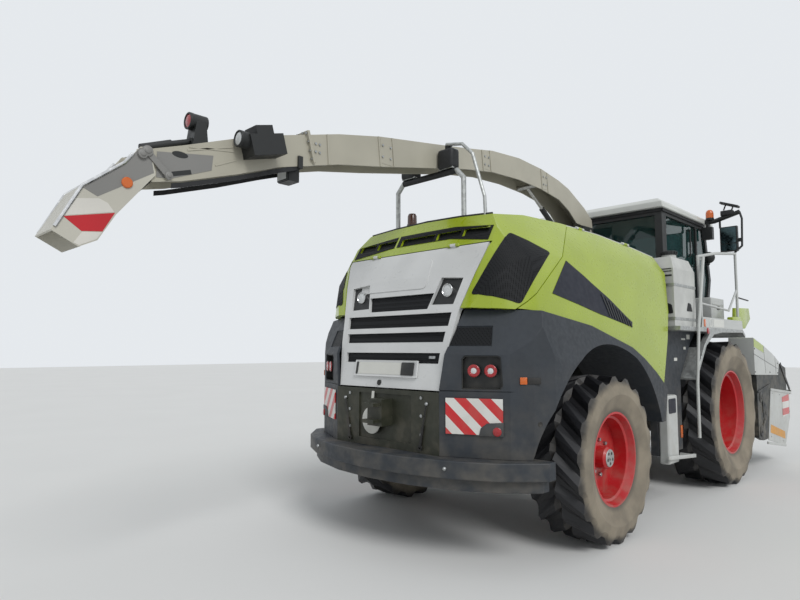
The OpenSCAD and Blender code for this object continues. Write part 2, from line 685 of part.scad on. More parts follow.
// Side view of the cab, pulled in by a wall
module cab_view(t) polygon([
    [2520 + t, cab_floor - 20 + t], [2500 + t, 3480 - t], [CAB_NOSE - 170 - t, 3480 - t], [CAB_NOSE - t, 2700],
    [CAB_NOSE - 240 - t, cab_floor - 20 + t]
]);
module side_window(grow) polygon([
    [2640 - grow, 2080 - grow], [2640 - grow, 3400 + grow], [CAB_NOSE - 580 + grow, 3400 + grow],
    [CAB_NOSE - 580 + grow, 2080 - grow]
]);
module cab_frame() color("dimgray") home() {
    difference() {
        across(-CAB_X, CAB_X) cab_view(0);
        across(-CAB_X + cab_t, CAB_X - cab_t) cab_view(cab_t);
        across(-CAB_X - 10, CAB_X + 10) side_window(0);
        across(CAB_X - cab_t - 10, CAB_X + 10) front_quarter();
        across(-CAB_X - 10, -CAB_X + cab_t + 10) front_quarter();
        block([-CAB_X + 90, 2400, 2850], [CAB_X - 90, 2700, 3400]);
        block([-CAB_X + 70, CAB_NOSE - 370, 2060], [CAB_X - 70, CAB_NOSE + 80, 3410]);
        cab_hinges() hinge_room(HINGE_L + run_gap * 2);
    }
    cab_hinges() hinge_lugs();
}
module front_quarter() polygon([
    [CAB_NOSE - 520, 2080], [CAB_NOSE - 520, 3400], [CAB_NOSE - 230, 3400], [CAB_NOSE - 80, 2700],
    [CAB_NOSE - 290, 2080]
]);
module cab_roof() color("whitesmoke") home() difference() {
    intersection() {
        across(-CAB_X - 40, CAB_X + 40) polygon([
            [2430, 3480], [2430, 3560], [2520, 3620], [3000, cab_top], [CAB_NOSE - 500, 3610],
            [CAB_NOSE - 20, 3570], [CAB_NOSE + 60, 3520], [CAB_NOSE + 40, 3480]
        ]);
        along(2000, 5000) polygon([
            [-CAB_X - 40, 3480], [-CAB_X - 40, 3550], [-CAB_X + 80, cab_top], [CAB_X - 80, cab_top],
            [CAB_X + 40, 3550], [CAB_X + 40, 3480]
        ]);
    }
}
module cab_glass() color("teal") home() {
    across(CAB_X - 30, CAB_X - 30 + glass_t) side_window(-fit);
    both_sides() across(CAB_X - 30, CAB_X - 30 + glass_t) polygon([
        [CAB_NOSE - 520 + fit, 2080 + fit], [CAB_NOSE - 520 + fit, 3400 - fit], [CAB_NOSE - 230, 3400 - fit],
        [CAB_NOSE - 80 - fit, 2700], [CAB_NOSE - 290, 2080 + fit]
    ]);
    block([-CAB_X + 90 + fit, 2530, 2850 + fit], [CAB_X - 90 - fit, 2530 + glass_t, 3400 - fit]);
    difference() {
        intersection() {
            across(-CAB_X + 70 + fit, CAB_X - 70 - fit) difference() {
                cab_view(20);
                cab_view(20 + glass_t);
            }
            block([-CAB_X, CAB_NOSE - 360, 2060 + fit], [CAB_X, CAB_NOSE + 80, 3410 - fit]);
        }
    }
}
DOOR_POST = [[-CAB_X - 4, 2643, 2300], [-CAB_X - 4, 2643, 3200]];
module cab_hinges() for (h = [0, 1]) on_line(DOOR_POST[0], DOOR_POST[1], h) children();
module cab_door() color("dimgray") home() {
    difference() {
        across(-CAB_X, -CAB_X + cab_t) side_window(-run_gap);
        across(-CAB_X - 10, -CAB_X + cab_t + 10) side_window(-70);
        cab_hinges() lug_room();
    }
    cab_hinges() hinge_tube();
}
module cab_door_glass() color("teal") home()
    across(-CAB_X + 26, -CAB_X + 26 + glass_t) side_window(-70 - fit);
// Steering column, which leans back towards the driver
COLUMN_TILT = 14;
COLUMN_L = 620;
module cab_seat() color("dimgray") home() {
    translate([0, 3050, cab_floor + 40]) {
        cylinder(h = 240, r = 120);
        block([-260, -250, 240], [260, 270, 400]);
        block([-240, -360, 400], [240, -250, 1050]);
        block([280, -150, 0], [440, 420, 480]);
    }
    translate([0, CAB_NOSE - 360, cab_floor + 50]) rotate([COLUMN_TILT, 0, 0]) {
        cylinder(h = COLUMN_L, r = 40);
        translate([0, 0, COLUMN_L]) cylinder(h = 30, r = 190);
    }
}

// Platforms, tanks and rails beside the cab

PLATFORM_OUT = 1420;
PLATFORM_Z = cab_floor;
DECK = PLATFORM_Z + fit;
module platform_view() polygon([
    [1690, 1900], [1690, PLATFORM_Z], [3990, PLATFORM_Z], [4080, 1890], [4080, 1850], [3960, 1915],
    [3100, 1900], [2790, 1870], [2500, 1730], [2140, 1340], [2100, 1360], [2460, 1760], [2640, 1880],
    [2640, 1900]
]);
module platforms() color("silver") home() both_sides()
    across(CAB_X, PLATFORM_OUT) platform_view();
module tanks() color("lightgray") home() {
    both_sides() hull() {
        block([990, 1720, DECK], [1355, 2380, 2600]);
        block([1030, 1780, 2600], [1310, 2320, 2740]);
    }
    both_sides() translate([1170, 2100, 2730]) cylinder(h = 70, r = 80);
}
RAIL_X = 1385;
STILE_X = PLATFORM_OUT + 22;
module handrails() color("gainsboro") home() {
    translate([RAIL_X, 0, 0]) {
        bent_tube([[0, 2470, DECK], [0, 2470, 2240], [0, 2420, 2800], [0, 3060, 2910], [0, 3900, 3000],
            [0, 3900, DECK]], 18, ACROSS);
        bent_tube([[0, 2470, 2240], [0, 3520, 2200], [0, 3900, 2500]], 14, ACROSS);
    }
    translate([STILE_X, 0, 0])
        bent_tube([[0, 2440, 2790], [0, 2190, 1940], [0, 2080, 1300], [0, 2080, 700]], 18, ACROSS);
    cross_pin(RAIL_X, STILE_X, 2430, 2760, 12);
    cross_pin(PLATFORM_OUT + fit, STILE_X, 2118, 1350, 12);
    translate([-RAIL_X, 0, 0])
        bent_tube([[0, 2460, DECK], [0, 2460, 2100], [0, 2430, 2860], [0, 1760, 2860], [0, 1710, 2100],
            [0, 1710, DECK]], 18, ACROSS);
}
SKIRT_X = 1180;
module side_skirts() color([0.15, 0.16, 0.18]) home() both_sides()
    across(SKIRT_X, SKIRT_X + 80) polygon([
        [1380, 560], [2070, 560], [2070, 1360], [2425, 1765], [2600, 1880], [2600, 1900 - fit],
        [1380, 1900 - fit]
    ]);
module step_covers() color("whitesmoke") home() both_sides()
    block([SKIRT_X + 80, 1390, 480], [1370, 1660, 1200]);
// Side edge of the cab's roof, from which the mirror arms reach out
MIRROR_X = CAB_X + 40;
MIRROR_Y = CAB_NOSE - 260;
// Free stub that a rotating beacon is pushed over
STUB = [-MIRROR_X - 70, MIRROR_Y, 3546];
STUB_R = 12.5;
STUB_L = 65;
module mirror_arms() color([0.12, 0.12, 0.12]) home() {
    both_sides() translate([MIRROR_X, MIRROR_Y, 0]) {
        bent_tube([[fit, 0, 3510], [120, 0, 3510], [450, 0, 3600]], 32, ALONG);
        bent_tube([[446, 0, 3600], [472, 0, 3500], [460, 0, 3120], [340, 0, 3010]], 14, ALONG);
        block([200, -60, 3050], [420, 0, 3400]);
        block([410, -14, 3180], [462, 10, 3230]);
        block([20, -60, 3420], [60, 20, 3485]);
        block([-30, -90, 3250], [110, -10, 3425]);
    }
    translate(STUB - [0, 0, 20]) cylinder(h = 20, r = 20);
    translate(STUB) cylinder(h = STUB_L, r = STUB_R);
}

// Chopper housing, chute and turret

HOUSING_X = RAIL_IN - 8;
module chopper_housing() color("dimgray") home() {
    across(-HOUSING_X, HOUSING_X) {
        polygon([
            [2420, 1100], [wheelbase - 140, 1100], [wheelbase - 140, rail_z + fit],
            [wheelbase + 140, rail_z + fit], [wheelbase + 140, 760], [HEADER_PIVOT[0], 640],
            [HEADER_PIVOT[0], 1640], [3400, 1800], [2900, 1850], [2480, 1890], [2440, 2300],
            [2380, 2970], [1640, 2970], [1900, 2100]
        ]);
        intersection() {
            translate(HEADER_PIVOT) circle(r = FEEDER_R);
            translate([HEADER_PIVOT[0] - 1, 0]) square([FEEDER_R * 2, 3000]);
        }
    }
    both_sides() cross_pin(HOUSING_X, HOUSING_X + 56, HEADER_PIVOT[0], HEADER_PIVOT[1], 40);
    translate([0, turret_y, 2970]) cylinder(h = 80, r = turret_r + 20);
}
HEADER_PIVOT = [3690, header_pivot_z];
FEEDER_R = 400;
TURRET_Z = 3050 + fit;
SPOUT_IN = spout_w / 2 - spout_t;
LUG_X = spout_w / 2 + run_gap;
module turret() color("dimgray") home() translate([0, turret_y, 0]) {
    difference() {
        union() {
            translate([0, 0, TURRET_Z]) cylinder(h = 90, r = turret_r);
            block([-50, -turret_r - 60, TURRET_Z + 20], [50, -turret_r + 60, TURRET_Z + 130]);
        }
        block([-SPOUT_IN, -250, TURRET_Z - 1], [SPOUT_IN, 240, TURRET_Z + 91]);
        block([-26, -turret_r - 61, TURRET_Z + 40], [26, -turret_r + 20, TURRET_Z + 131]);
        cross_pin(-60, 60, -turret_r - 20, BARREL_PIN[1], 16 + fit);
    }
    difference() {
        both_sides() block([LUG_X, -40, TURRET_Z + 80], [LUG_X + 30, 220, LIFT_PIN[1] + 50]);
        cross_pin(-400, 400, LIFT_PIN[0] - turret_y, LIFT_PIN[1], pin_r + fit);
    }
}
BARREL_PIN = [turret_y - turret_r - 20, TURRET_Z + 90];

// Spout

function spout_top() = [for (s = SPOUT) [s[0], s[1]]];
function spout_bottom() = [for (i = [len(SPOUT) - 1 : -1 : 0]) [SPOUT[i][0], SPOUT[i][2]]];
module spout_view() polygon(concat(spout_top(), spout_bottom()));
module spout_channel_view() polygon(concat(
    [for (s = SPOUT) [s[0], s[1] - spout_t]],
    [for (i = [len(SPOUT) - 1 : -1 : 0]) [SPOUT[i][0] + (i > 14 ? -30 : 0), SPOUT[i][2] - 200]]
));
ROD_EYE = [900, 3620];
// The bolted flange between the spout and its extension, square to the spout there
FLANGE = [-2390, 3255];
FLANGE_TILT = 15.4;
FLANGE_T = 12;
FLANGE_RIM = 27;
// Side view of a strip square to the spout, from u0 to u1 ahead of the flange's face and v0 to v1 above it
module at_flange(u0, u1, v0, v1) translate(FLANGE) rotate(FLANGE_TILT) translate([u0, v0]) square([u1 - u0, v1 - v0]);
module flanged_shell(u0, u1, plate) {
    difference() {
        union() {
            across(-spout_w / 2, spout_w / 2) intersection() {
                spout_view();
                at_flange(u0, u1, -3000, 3000);
            }
            across(-spout_w / 2 - FLANGE_RIM, spout_w / 2 + FLANGE_RIM)
                at_flange(plate, plate + FLANGE_T, -112, 112 + FLANGE_RIM);
        }
        across(-SPOUT_IN, SPOUT_IN) spout_channel_view();
    }
}
module spout() color([0.62, 0.6, 0.55]) home() {
    flanged_shell(fit / 2, 6000, fit / 2);
    both_sides() {
        cross_pin(SPOUT_IN, LUG_X + 30, LIFT_PIN[0], LIFT_PIN[1], pin_r);
        across(SPOUT_IN, spout_w / 2) polygon([
            [2220, 3300], [2060, 3300], [2060, 3185], [2200, 3185]
        ]);
    }
}
module spout_extension() color([0.62, 0.6, 0.55]) home() {
    flanged_shell(-2000, -fit / 2, -fit / 2 - FLANGE_T);
    both_sides() across(SPOUT_IN, spout_w / 2) polygon([
        [-3600, 2950], [-3715, 2935], [-3715, 2875], [-3600, 2820]
    ]);
    cross_pin(-LUG_X - 8, LUG_X + 8, FLAP_PIN[0], FLAP_PIN[1], 12);
}
// Lamp cluster beside the extension, a marker lamp on its top and a work lamp hung below it
SIDE_LAMP = [spout_w / 2 + 75, -2985, 3150];
TOP_LAMP = [0, -3200, 3262];
LAMP_R = 58;
module spout_lamps() color([0.1, 0.1, 0.1]) home() {
    across(spout_w / 2 + fit, spout_w / 2 + 150) {
        at_flange(-620, -340, -60, 90);
        at_flange(-560, -420, -60, 150);
    }
    translate(SIDE_LAMP) rotate([90, 0, 0]) cylinder(h = 70, r = LAMP_R);
    difference() {
        across(-60, 60) polygon([
            [TOP_LAMP[1], 3090], [TOP_LAMP[1] - 120, 3045], [TOP_LAMP[1] - 90, 3250], [TOP_LAMP[1] - 20, 3270]
        ]);
        across(-200, 200) spout_view();
    }
    translate(TOP_LAMP) rotate([90, 0, 0]) cylinder(h = 120, r = LAMP_R);
    difference() {
        union() {
            block([-70, -2540, 2990], [70, -2440, 3095]);
            block([-spout_w / 2 - 20, -2510, 3075], [spout_w / 2 + 20, -2470, 3170]);
        }
        across(-spout_w / 2 - fit, spout_w / 2 + fit) spout_view();
    }
}
CYL_LEN = norm(ROD_EYE - BARREL_PIN);
CYL_TILT = atan2(ROD_EYE[1] - BARREL_PIN[1], BARREL_PIN[0] - ROD_EYE[0]);
// Places a cylinder that points back and up from the turret's bracket
module on_spout_cylinder() home() translate([0, BARREL_PIN[0], BARREL_PIN[1]])
    rotate([90 - CYL_TILT, 0, 0]) children();
module spout_barrel() color("dimgray") on_spout_cylinder() difference() {
    union() {
        cylinder(h = 90, r = 24);
        translate([0, 0, 80]) cylinder(h = CYL_LEN * 0.56 - 80, r = 32);
        rotate([0, 90, 0]) cylinder(h = 44, r = 29, center = true);
        rotate([0, 90, 0]) cylinder(h = 100, r = 16, center = true);
    }
    translate([0, 0, 100]) cylinder(h = CYL_LEN, r = 18 + fit);
}
module spout_rod() color("silver") on_spout_cylinder() {
    translate([0, 0, CYL_LEN * 0.5 - 60]) cylinder(h = CYL_LEN * 0.5 + 60, r = 18);
    translate([0, 0, CYL_LEN]) rotate([0, 90, 0]) cylinder(h = 2 * (SPOUT_IN - fit), r = 28, center = true);
}

// End flap: two side plates and a curved back plate about its pin
module end_flap() color("firebrick") home() {
    both_sides() difference() {
        across(spout_w / 2 + run_gap, spout_w / 2 + run_gap + 8) polygon([
            [-3640, 2960], [-3600, 2790], [-3830, 2500], [-3930, 2330], [-4030, 2280], [-4180, 2360],
            [-4030, 2640], [-3790, 2830], [-3700, 2950]
        ]);
        cross_pin(0, 400, FLAP_PIN[0], FLAP_PIN[1], 12 + fit);
    }
    across(-spout_w / 2 - run_gap, spout_w / 2 + run_gap) polygon([
        [-3790, 2830], [-4030, 2640], [-4180, 2360], [-4170, 2354], [-4022, 2632], [-3784, 2820]
    ]);
}

// Header

ARM_X = HOUSING_X + run_gap;
SHAFT_R = 30;
LIFT_X = 430;
LIFT_EYE = [4150, 770];
LIFT_BASE = [wheelbase + 220, 640];
LIFT_LEN = norm(LIFT_EYE - LIFT_BASE);
LIFT_TILT = atan2(LIFT_EYE[1] - LIFT_BASE[1], LIFT_EYE[0] - LIFT_BASE[0]);
module header_frame() color("silver") home() {
    difference() {
        across(-ARM_X, ARM_X) difference() {
            polygon([[3900, 690], [3900, 1330], [HEADER_Y, 1330], [HEADER_Y, 560], [4100, 560]]);
            translate(HEADER_PIVOT) circle(r = FEEDER_R + run_gap);
        }
    }
    both_sides() {
        difference() {
            across(ARM_X, ARM_X + 42) polygon([
                [3640, 940], [3640, 1060], [3900, 1180], [4200, 1180], [4200, 800], [3900, 860]
            ]);
            cross_pin(0, 600, HEADER_PIVOT[0], HEADER_PIVOT[1], 40 + fit);
        }
        difference() {
            across(HALF_HEADER - 60, HALF_HEADER) polygon([
                [HEADER_Y, 480], [HEADER_Y, COVER_Z], [5450, COVER_Z - 36], [5560, 1470], [5900, 1400],
                [5900, 1040], [5450, 760], [5450, 420], [4500, 420]
            ]);
            cross_pin(1000, 1600, REEL_Y, REEL_Z, SHAFT_R + fit);
            cross_pin(1000, 1600, AUGER_Y, AUGER_Z, SHAFT_R + fit);
        }
        for (x = [LIFT_X - 44, LIFT_X + 28 + fit])
            across(x, x + 16 - fit) polygon([[4110, 700], [4110, 840], [HEADER_Y, 900], [HEADER_Y, 660]]);
        block([HALF_HEADER - 60, 5890, 980], [HALF_HEADER, nose_reach - 60, 1040]);
    }
    along(HEADER_Y, HEADER_Y + 60) polygon([
        [-HALF_HEADER + 60, 480], [-HALF_HEADER + 60, 1500], [HALF_HEADER - 60, 1500], [HALF_HEADER - 60, 480]
    ]);
    across(-HALF_HEADER + 60, HALF_HEADER - 60) polygon([
        [HEADER_Y + 60, 480], [HEADER_Y + 60, 520], [4950, 520], [4950, 480]
    ]);
    cross_pin(-HALF_HEADER + 60, HALF_HEADER - 60, 5700, 1250, 70);
    block([-HALF_HEADER, nose_reach - 60, 980], [HALF_HEADER, nose_reach, 1040]);
}
// Covers over the drives at both ends of the header
COVER_Z = 1338;
COVER_W = 320;
COVER_T = 24;
function cover_view(t) = [
    [HEADER_Y - 60 + t, COVER_Z + 2 + fit - (t > 0 ? 60 : 0)], [HEADER_Y - 60 + t, 1850 - t], [4700, 1745 - t],
    [5150, 1630 - t], [5530 - t, 1500 - t], [5444 - t, COVER_Z - 35.5 + fit - (t > 0 ? 60 : 0)]
];
module header_covers() color("whitesmoke") home() both_sides() difference() {
    across(HALF_HEADER - COVER_W, HALF_HEADER) polygon(cover_view(0));
    across(HALF_HEADER - COVER_W - 1, HALF_HEADER - COVER_T) polygon(cover_view(COVER_T));
}
// Guards outside the header's ends, hung from a flat bar, with another bar along the bottom
SHIELD_T = 12;
SHIELD_BAR = 36;
module header_shields() color("whitesmoke") home() both_sides() {
    across(HALF_HEADER + fit, HALF_HEADER + SHIELD_T) polygon([
        [4940, 1100], [4720, 400], [5640, 230], [5990, 640], [6000, 1020]
    ]);
    across(HALF_HEADER + fit, HALF_HEADER + 20) polygon([
        [4930, 1125 - SHIELD_BAR], [4930, 1125], [6110, 1020], [6110, 1020 - SHIELD_BAR]
    ]);
    across(HALF_HEADER + fit, HALF_HEADER + 20) polygon([
        [4650, 390 - SHIELD_BAR], [4650, 390], [5640, 210 + SHIELD_BAR], [5640, 210]
    ]);
}
// A roller across the header, carried on its shaft in both side plates
module header_roller(y, z, r) {
    cross_pin(-HALF_HEADER + 70, HALF_HEADER - 70, y, z, r);
    cross_pin(-HALF_HEADER + 20, HALF_HEADER - 20, y, z, SHAFT_R);
}
// Pick-up drum with bent rows of spring tines in pairs
TINE_ROWS = 5;
TINES = 20;
TINE = 9;
module pickup_reel() color("dimgray") home() {
    header_roller(REEL_Y, REEL_Z, reel_r * 0.7);
    for (row = [0 : TINE_ROWS - 1])
        translate([0, REEL_Y, REEL_Z]) rotate([row * 360 / TINE_ROWS, 0, 0])
            for (i = [0 : TINES - 1])
                translate([(i + 0.5 - TINES / 2) * (header_w - 260) / TINES, 0, 0])
                    block([-TINE / 2, -TINE / 2, reel_r * 0.6], [TINE / 2, TINE / 2, reel_r]);
}
// Auger whose two flights wind in from the sides to the middle
FLIGHT_PITCH = 420;
FLIGHT_STEP = 18;
FLIGHT_T = 10;
module flight(length, hand) {
    m = floor(length / FLIGHT_PITCH * 360 / FLIGHT_STEP);
    rings = [for (i = [0 : m]) let (a = hand * i * FLIGHT_STEP, x = i * FLIGHT_STEP / 360 * FLIGHT_PITCH)
        for (c = [[0, 0.3], [FLIGHT_T, 0.3], [FLIGHT_T, 1], [0, 1]])
            [x + c[0], auger_r * c[1] * cos(a), auger_r * c[1] * sin(a)]];
    faces = concat(
        [hand > 0 ? [0, 1, 2, 3] : [3, 2, 1, 0]],
        [hand > 0 ? [m * 4 + 3, m * 4 + 2, m * 4 + 1, m * 4] : [m * 4, m * 4 + 1, m * 4 + 2, m * 4 + 3]],
        [for (i = [0 : m - 1]) for (c = [0 : 3]) let (d = (c + 1) % 4, p = i * 4, q = p + 4)
            hand > 0 ? [p + c, q + c, p + d] : [p + c, p + d, q + c]],
        [for (i = [0 : m - 1]) for (c = [0 : 3]) let (d = (c + 1) % 4, p = i * 4, q = p + 4)
            hand > 0 ? [p + d, q + c, q + d] : [p + d, q + d, q + c]]
    );
    polyhedron(rings, faces, convexity = 20);
}
module intake_auger() color("dimgray") home() {
    header_roller(AUGER_Y, AUGER_Z, auger_r * 0.45);
    translate([0, AUGER_Y, AUGER_Z]) {
        translate([-HALF_HEADER + 75, 0, 0]) flight(HALF_HEADER - 100, 1);
        mirror([1, 0, 0]) translate([-HALF_HEADER + 75, 0, 0]) flight(HALF_HEADER - 100, 1);
    }
}
module on_lift_cylinders() home() both_sides() translate([LIFT_X, LIFT_BASE[0], LIFT_BASE[1]])
    rotate([LIFT_TILT - 90, 0, 0]) children();
module lift_barrels() color("dimgray") on_lift_cylinders() difference() {
    union() {
        cylinder(h = 90, r = 26);
        translate([0, 0, 80]) cylinder(h = LIFT_LEN * 0.62 - 80, r = 45);
        rotate([0, 90, 0]) cylinder(h = 56, r = 42, center = true);
        rotate([0, 90, 0]) cylinder(h = 88, r = 20, center = true);
    }
    translate([0, 0, 100]) cylinder(h = LIFT_LEN, r = 25 + fit);
}
module lift_rods() color("silver") on_lift_cylinders() {
    translate([0, 0, LIFT_LEN * 0.35]) cylinder(h = LIFT_LEN * 0.65, r = 25);
    translate([0, 0, LIFT_LEN]) rotate([0, 90, 0]) cylinder(h = 56, r = 40, center = true);
}

main_frame();
engine_block();
front_axle();
rear_axle();
knuckle_left();
knuckle_right();
tie_rod();
tyre_front_left();
tyre_front_right();
tyre_rear_left();
tyre_rear_right();
rim_front_left();
rim_front_right();
rim_rear_left();
rim_rear_right();
hood_roof();
hood_rear();
side_door_left();
side_door_right();
rear_door();
fender_left();
fender_right();
rear_lamps();
warning_boards();
bumper();
hitch_panel();
cradle();
cab_frame();
cab_roof();
cab_glass();
cab_door();
cab_door_glass();
cab_seat();
tanks();
platforms();
handrails();
side_skirts();
step_covers();
mirror_arms();
chopper_housing();
turret();
spout();
spout_extension();
spout_lamps();
spout_barrel();
spout_rod();
end_flap();
header_frame();
header_covers();
header_shields();
pickup_reel();
intake_auger();
lift_barrels();
lift_rods();
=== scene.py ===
"""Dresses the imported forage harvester: finishes for its solids, the finer pieces on them, and the stage."""
import itertools
import json
import math

import bmesh
import bpy
from mathutils import Matrix, Vector


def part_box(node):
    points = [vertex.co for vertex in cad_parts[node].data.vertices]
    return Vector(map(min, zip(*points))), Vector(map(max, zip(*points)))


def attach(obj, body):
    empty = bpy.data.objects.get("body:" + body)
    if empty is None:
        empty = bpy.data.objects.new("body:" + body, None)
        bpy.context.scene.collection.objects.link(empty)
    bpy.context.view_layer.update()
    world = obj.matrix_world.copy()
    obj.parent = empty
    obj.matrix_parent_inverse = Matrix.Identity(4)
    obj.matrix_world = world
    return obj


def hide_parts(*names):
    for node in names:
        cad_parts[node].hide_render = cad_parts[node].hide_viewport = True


bl_info = {
    "name": "Forage Harvester Dresser",
    "version": (1, 0, 0),
    "blender": (4, 5, 0),
    "location": "3D View > Sidebar > Harvester",
    "description": "Finishes and fine pieces for the forage harvester's solids",
    "category": "Object",
}

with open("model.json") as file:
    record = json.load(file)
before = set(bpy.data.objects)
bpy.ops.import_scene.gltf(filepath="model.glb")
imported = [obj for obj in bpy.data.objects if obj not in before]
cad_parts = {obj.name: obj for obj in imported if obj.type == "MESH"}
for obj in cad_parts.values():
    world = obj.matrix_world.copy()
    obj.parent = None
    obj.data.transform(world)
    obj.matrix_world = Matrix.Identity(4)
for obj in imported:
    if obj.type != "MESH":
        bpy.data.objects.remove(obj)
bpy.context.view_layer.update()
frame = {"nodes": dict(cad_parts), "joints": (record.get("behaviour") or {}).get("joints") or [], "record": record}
JOINTS = {joint["name"]: joint for joint in frame["joints"]}
# Place of the rear axle along the machine, from which the pieces' places are counted
AXLE_Y = JOINTS["steer"]["pos_m"][1]
# Material slot of every solid, and of the finishes that have none of their own name; the others use cab_black
SLOTS = {part["node"]: part["material_slot"] for part in frame["record"]["subparts"]}
SLOT_OF = {
    "zinc": "steel", "chrome": "steel", "spout_grey": "spout_beige", "band_white": "flap_red",
    "flap_enamel_red": "flap_red", "yellow_film": "rail_grey", "plate_white": "rail_grey",
}
SIDES = ((1, "right"), (-1, "left"))
# Distances in metres under which points are joined: in a turned shape, and in a solid's mesh
WELD = 1e-5
SOLID_WELD = 0.00002
FINISHES = {}
BEHIND = (0, -1, 0)
# Turn that puts Z backwards
BACKWARD = Matrix.Rotation(math.pi / 2, 4, "X")
# Turn of the fenders' swept rear face from straight across
SWEEP = math.radians(25.7)


# Colours

def linear(text):
    """Linear RGBA of an sRGB hex colour."""
    values = [int(text[i:i + 2], 16) / 255 for i in (1, 3, 5)]
    return [v / 12.92 if v <= 0.04045 else ((v + 0.055) / 1.055) ** 2.4 for v in values] + [1.0]


def colour_property(name, description, text):
    """A colour that the user can change."""
    return bpy.props.FloatVectorProperty(
        name=name, description=description, default=linear(text), size=4, min=0, max=1, subtype="COLOR")


def length_property(name, description, metres):
    """A length that the user can change."""
    return bpy.props.FloatProperty(
        name=name, description=description, default=metres, min=0, subtype="DISTANCE", unit="LENGTH")


class HarvesterColours(bpy.types.PropertyGroup):
    """Colours of the harvester's paint and plastic."""

    hood: colour_property("Hood", "Paint of the hood's doors and rear frame", "#97a91c")
    roof: colour_property("Roof", "Paint of the roof strip, cab roof and tanks", "#c9cbc6")
    door: colour_property("Rear door", "Moulded rear door", "#cfd0cf")
    fender: colour_property("Fenders", "Moulded fenders and bumper", "#2a2f35")
    wheel: colour_property("Wheels", "Paint of the rims", "#b3181f")
    spout: colour_property("Spout", "Paint of the spout", "#a9a596")
    chassis: colour_property("Chassis", "Paint of frame, axles and housings", "#2b2e2d")
    dust: colour_property("Dust", "Dry soil on tyres and low panels", "#8d8474")


class HarvesterSizes(bpy.types.PropertyGroup):
    """Sizes of the finer pieces."""

    screen_lift: length_property("Screen lift", "How far a dark panel stands proud of the hood", 0.0015)
    bolt: length_property("Bolt head", "Width across a wheel nut", 0.032)


# Finishes

def add_node(tree, kind, settings=None, **inputs):
    """Adds a node, with its settings, and its inputs as values or as sockets to link."""
    node = tree.nodes.new(kind)
    for key, value in (settings or {}).items():
        setattr(node, key, value)
    for key, value in inputs.items():
        numbered = key[0] == "n" and key[1:].isdigit()
        socket = node.inputs[int(key[1:]) if numbered else key.replace("_", " ")]
        if isinstance(value, bpy.types.NodeSocket):
            tree.links.new(value, socket)
        else:
            socket.default_value = value
    return node


def blank_material(name, **shader):
    """A material with one Principled shader whose plain values are set on its own sockets."""
    material = bpy.data.materials.new(name)
    material.use_nodes = True
    tree = material.node_tree
    node = tree.nodes["Principled BSDF"]
    for key, value in shader.items():
        node.inputs[key.replace("_", " ")].default_value = value
    place = add_node(tree, "ShaderNodeTexCoord").outputs["Object"]
    return material, tree, node, place


def noise(tree, place, size, detail=3.0, roughness=0.5):
    """Socket of a soft noise whose lumps are about the given size in metres."""
    return add_node(tree, "ShaderNodeTexNoise", Vector=place, Scale=1.0 / size, Detail=detail,
                    Roughness=roughness).outputs["Fac"]


def ramp(tree, value, low, high, to_low=0.0, to_high=1.0):
    """Socket that goes from to_low to to_high as a value goes from low to high."""
    return add_node(tree, "ShaderNodeMapRange", {"interpolation_type": "SMOOTHSTEP"}, Value=value,
                    n1=low, n2=high, n3=to_low, n4=to_high).outputs["Result"]


def blend_colour(tree, share, first, second):
    """Socket of two colours mixed by a share."""
    node = add_node(tree, "ShaderNodeMix", {"data_type": "RGBA"})
    for index, value in ((0, share), (6, first), (7, second)):
        if isinstance(value, bpy.types.NodeSocket):
            tree.links.new(value, node.inputs[index])
        else:
            node.inputs[index].default_value = value
    return node.outputs[2]


def product(tree, first, second):
    """Socket of two values multiplied."""
    return add_node(tree, "ShaderNodeMath", {"operation": "MULTIPLY"}, n0=first, n1=second).outputs[0]


def shaded(colour, share):
    """A colour made darker or lighter by a share."""
    return [min(1.0, c * share) for c in colour[:3]] + [1.0]


def dusty_share(tree, place, top, amount, patch=0.12):
    """Share of dust that fades out with height and lies in patches."""
    height = add_node(tree, "ShaderNodeSeparateXYZ", Vector=place).outputs["Z"]
    low_down = ramp(tree, height, top, 0.3, 0.0, amount)
    return product(tree, low_down, ramp(tree, noise(tree, place, patch), 0.35, 0.7))


def feed(shader, name, socket):
    """Links a socket to an input of the shader."""
    shader.id_data.links.new(socket, shader.inputs[name])


def bumped(tree, shader, height, strength, distance):
    """Feeds a height into the shader's normal."""
    bump = add_node(tree, "ShaderNodeBump", Height=height, Strength=strength, Distance=distance)
    tree.links.new(bump.outputs["Normal"], shader.inputs["Normal"])


def sprayed_paint(name, colour, dust, roughness=0.32, coat=0.3, dust_top=1.6, dust_amount=0.3):
    """Sprayed enamel: even colour with faint clouding, orange peel and dust low down."""
    material, tree, shader, place = blank_material(name, Coat_Weight=coat, Coat_Roughness=0.12)
    # Clouding of some 0.4 m, as a large sprayed panel shows in flat light
    cloud = ramp(tree, noise(tree, place, 0.4, 2.0), 0.3, 0.7)
    base = blend_colour(tree, cloud, shaded(colour, 0.94), shaded(colour, 1.04))
    share = dusty_share(tree, place, dust_top, dust_amount)
    feed(shader, "Base Color", blend_colour(tree, share, base, dust))
    fine = noise(tree, place, 0.05, 4.0)
    feed(shader, "Roughness", ramp(tree, fine, 0.2, 0.8, roughness - 0.05, roughness + 0.12))
    # Orange peel drawn at 12 mm, coarser than real, so that it shows
    bumped(tree, shader, noise(tree, place, 0.012, 2.0), 0.05, 0.001)
    return material


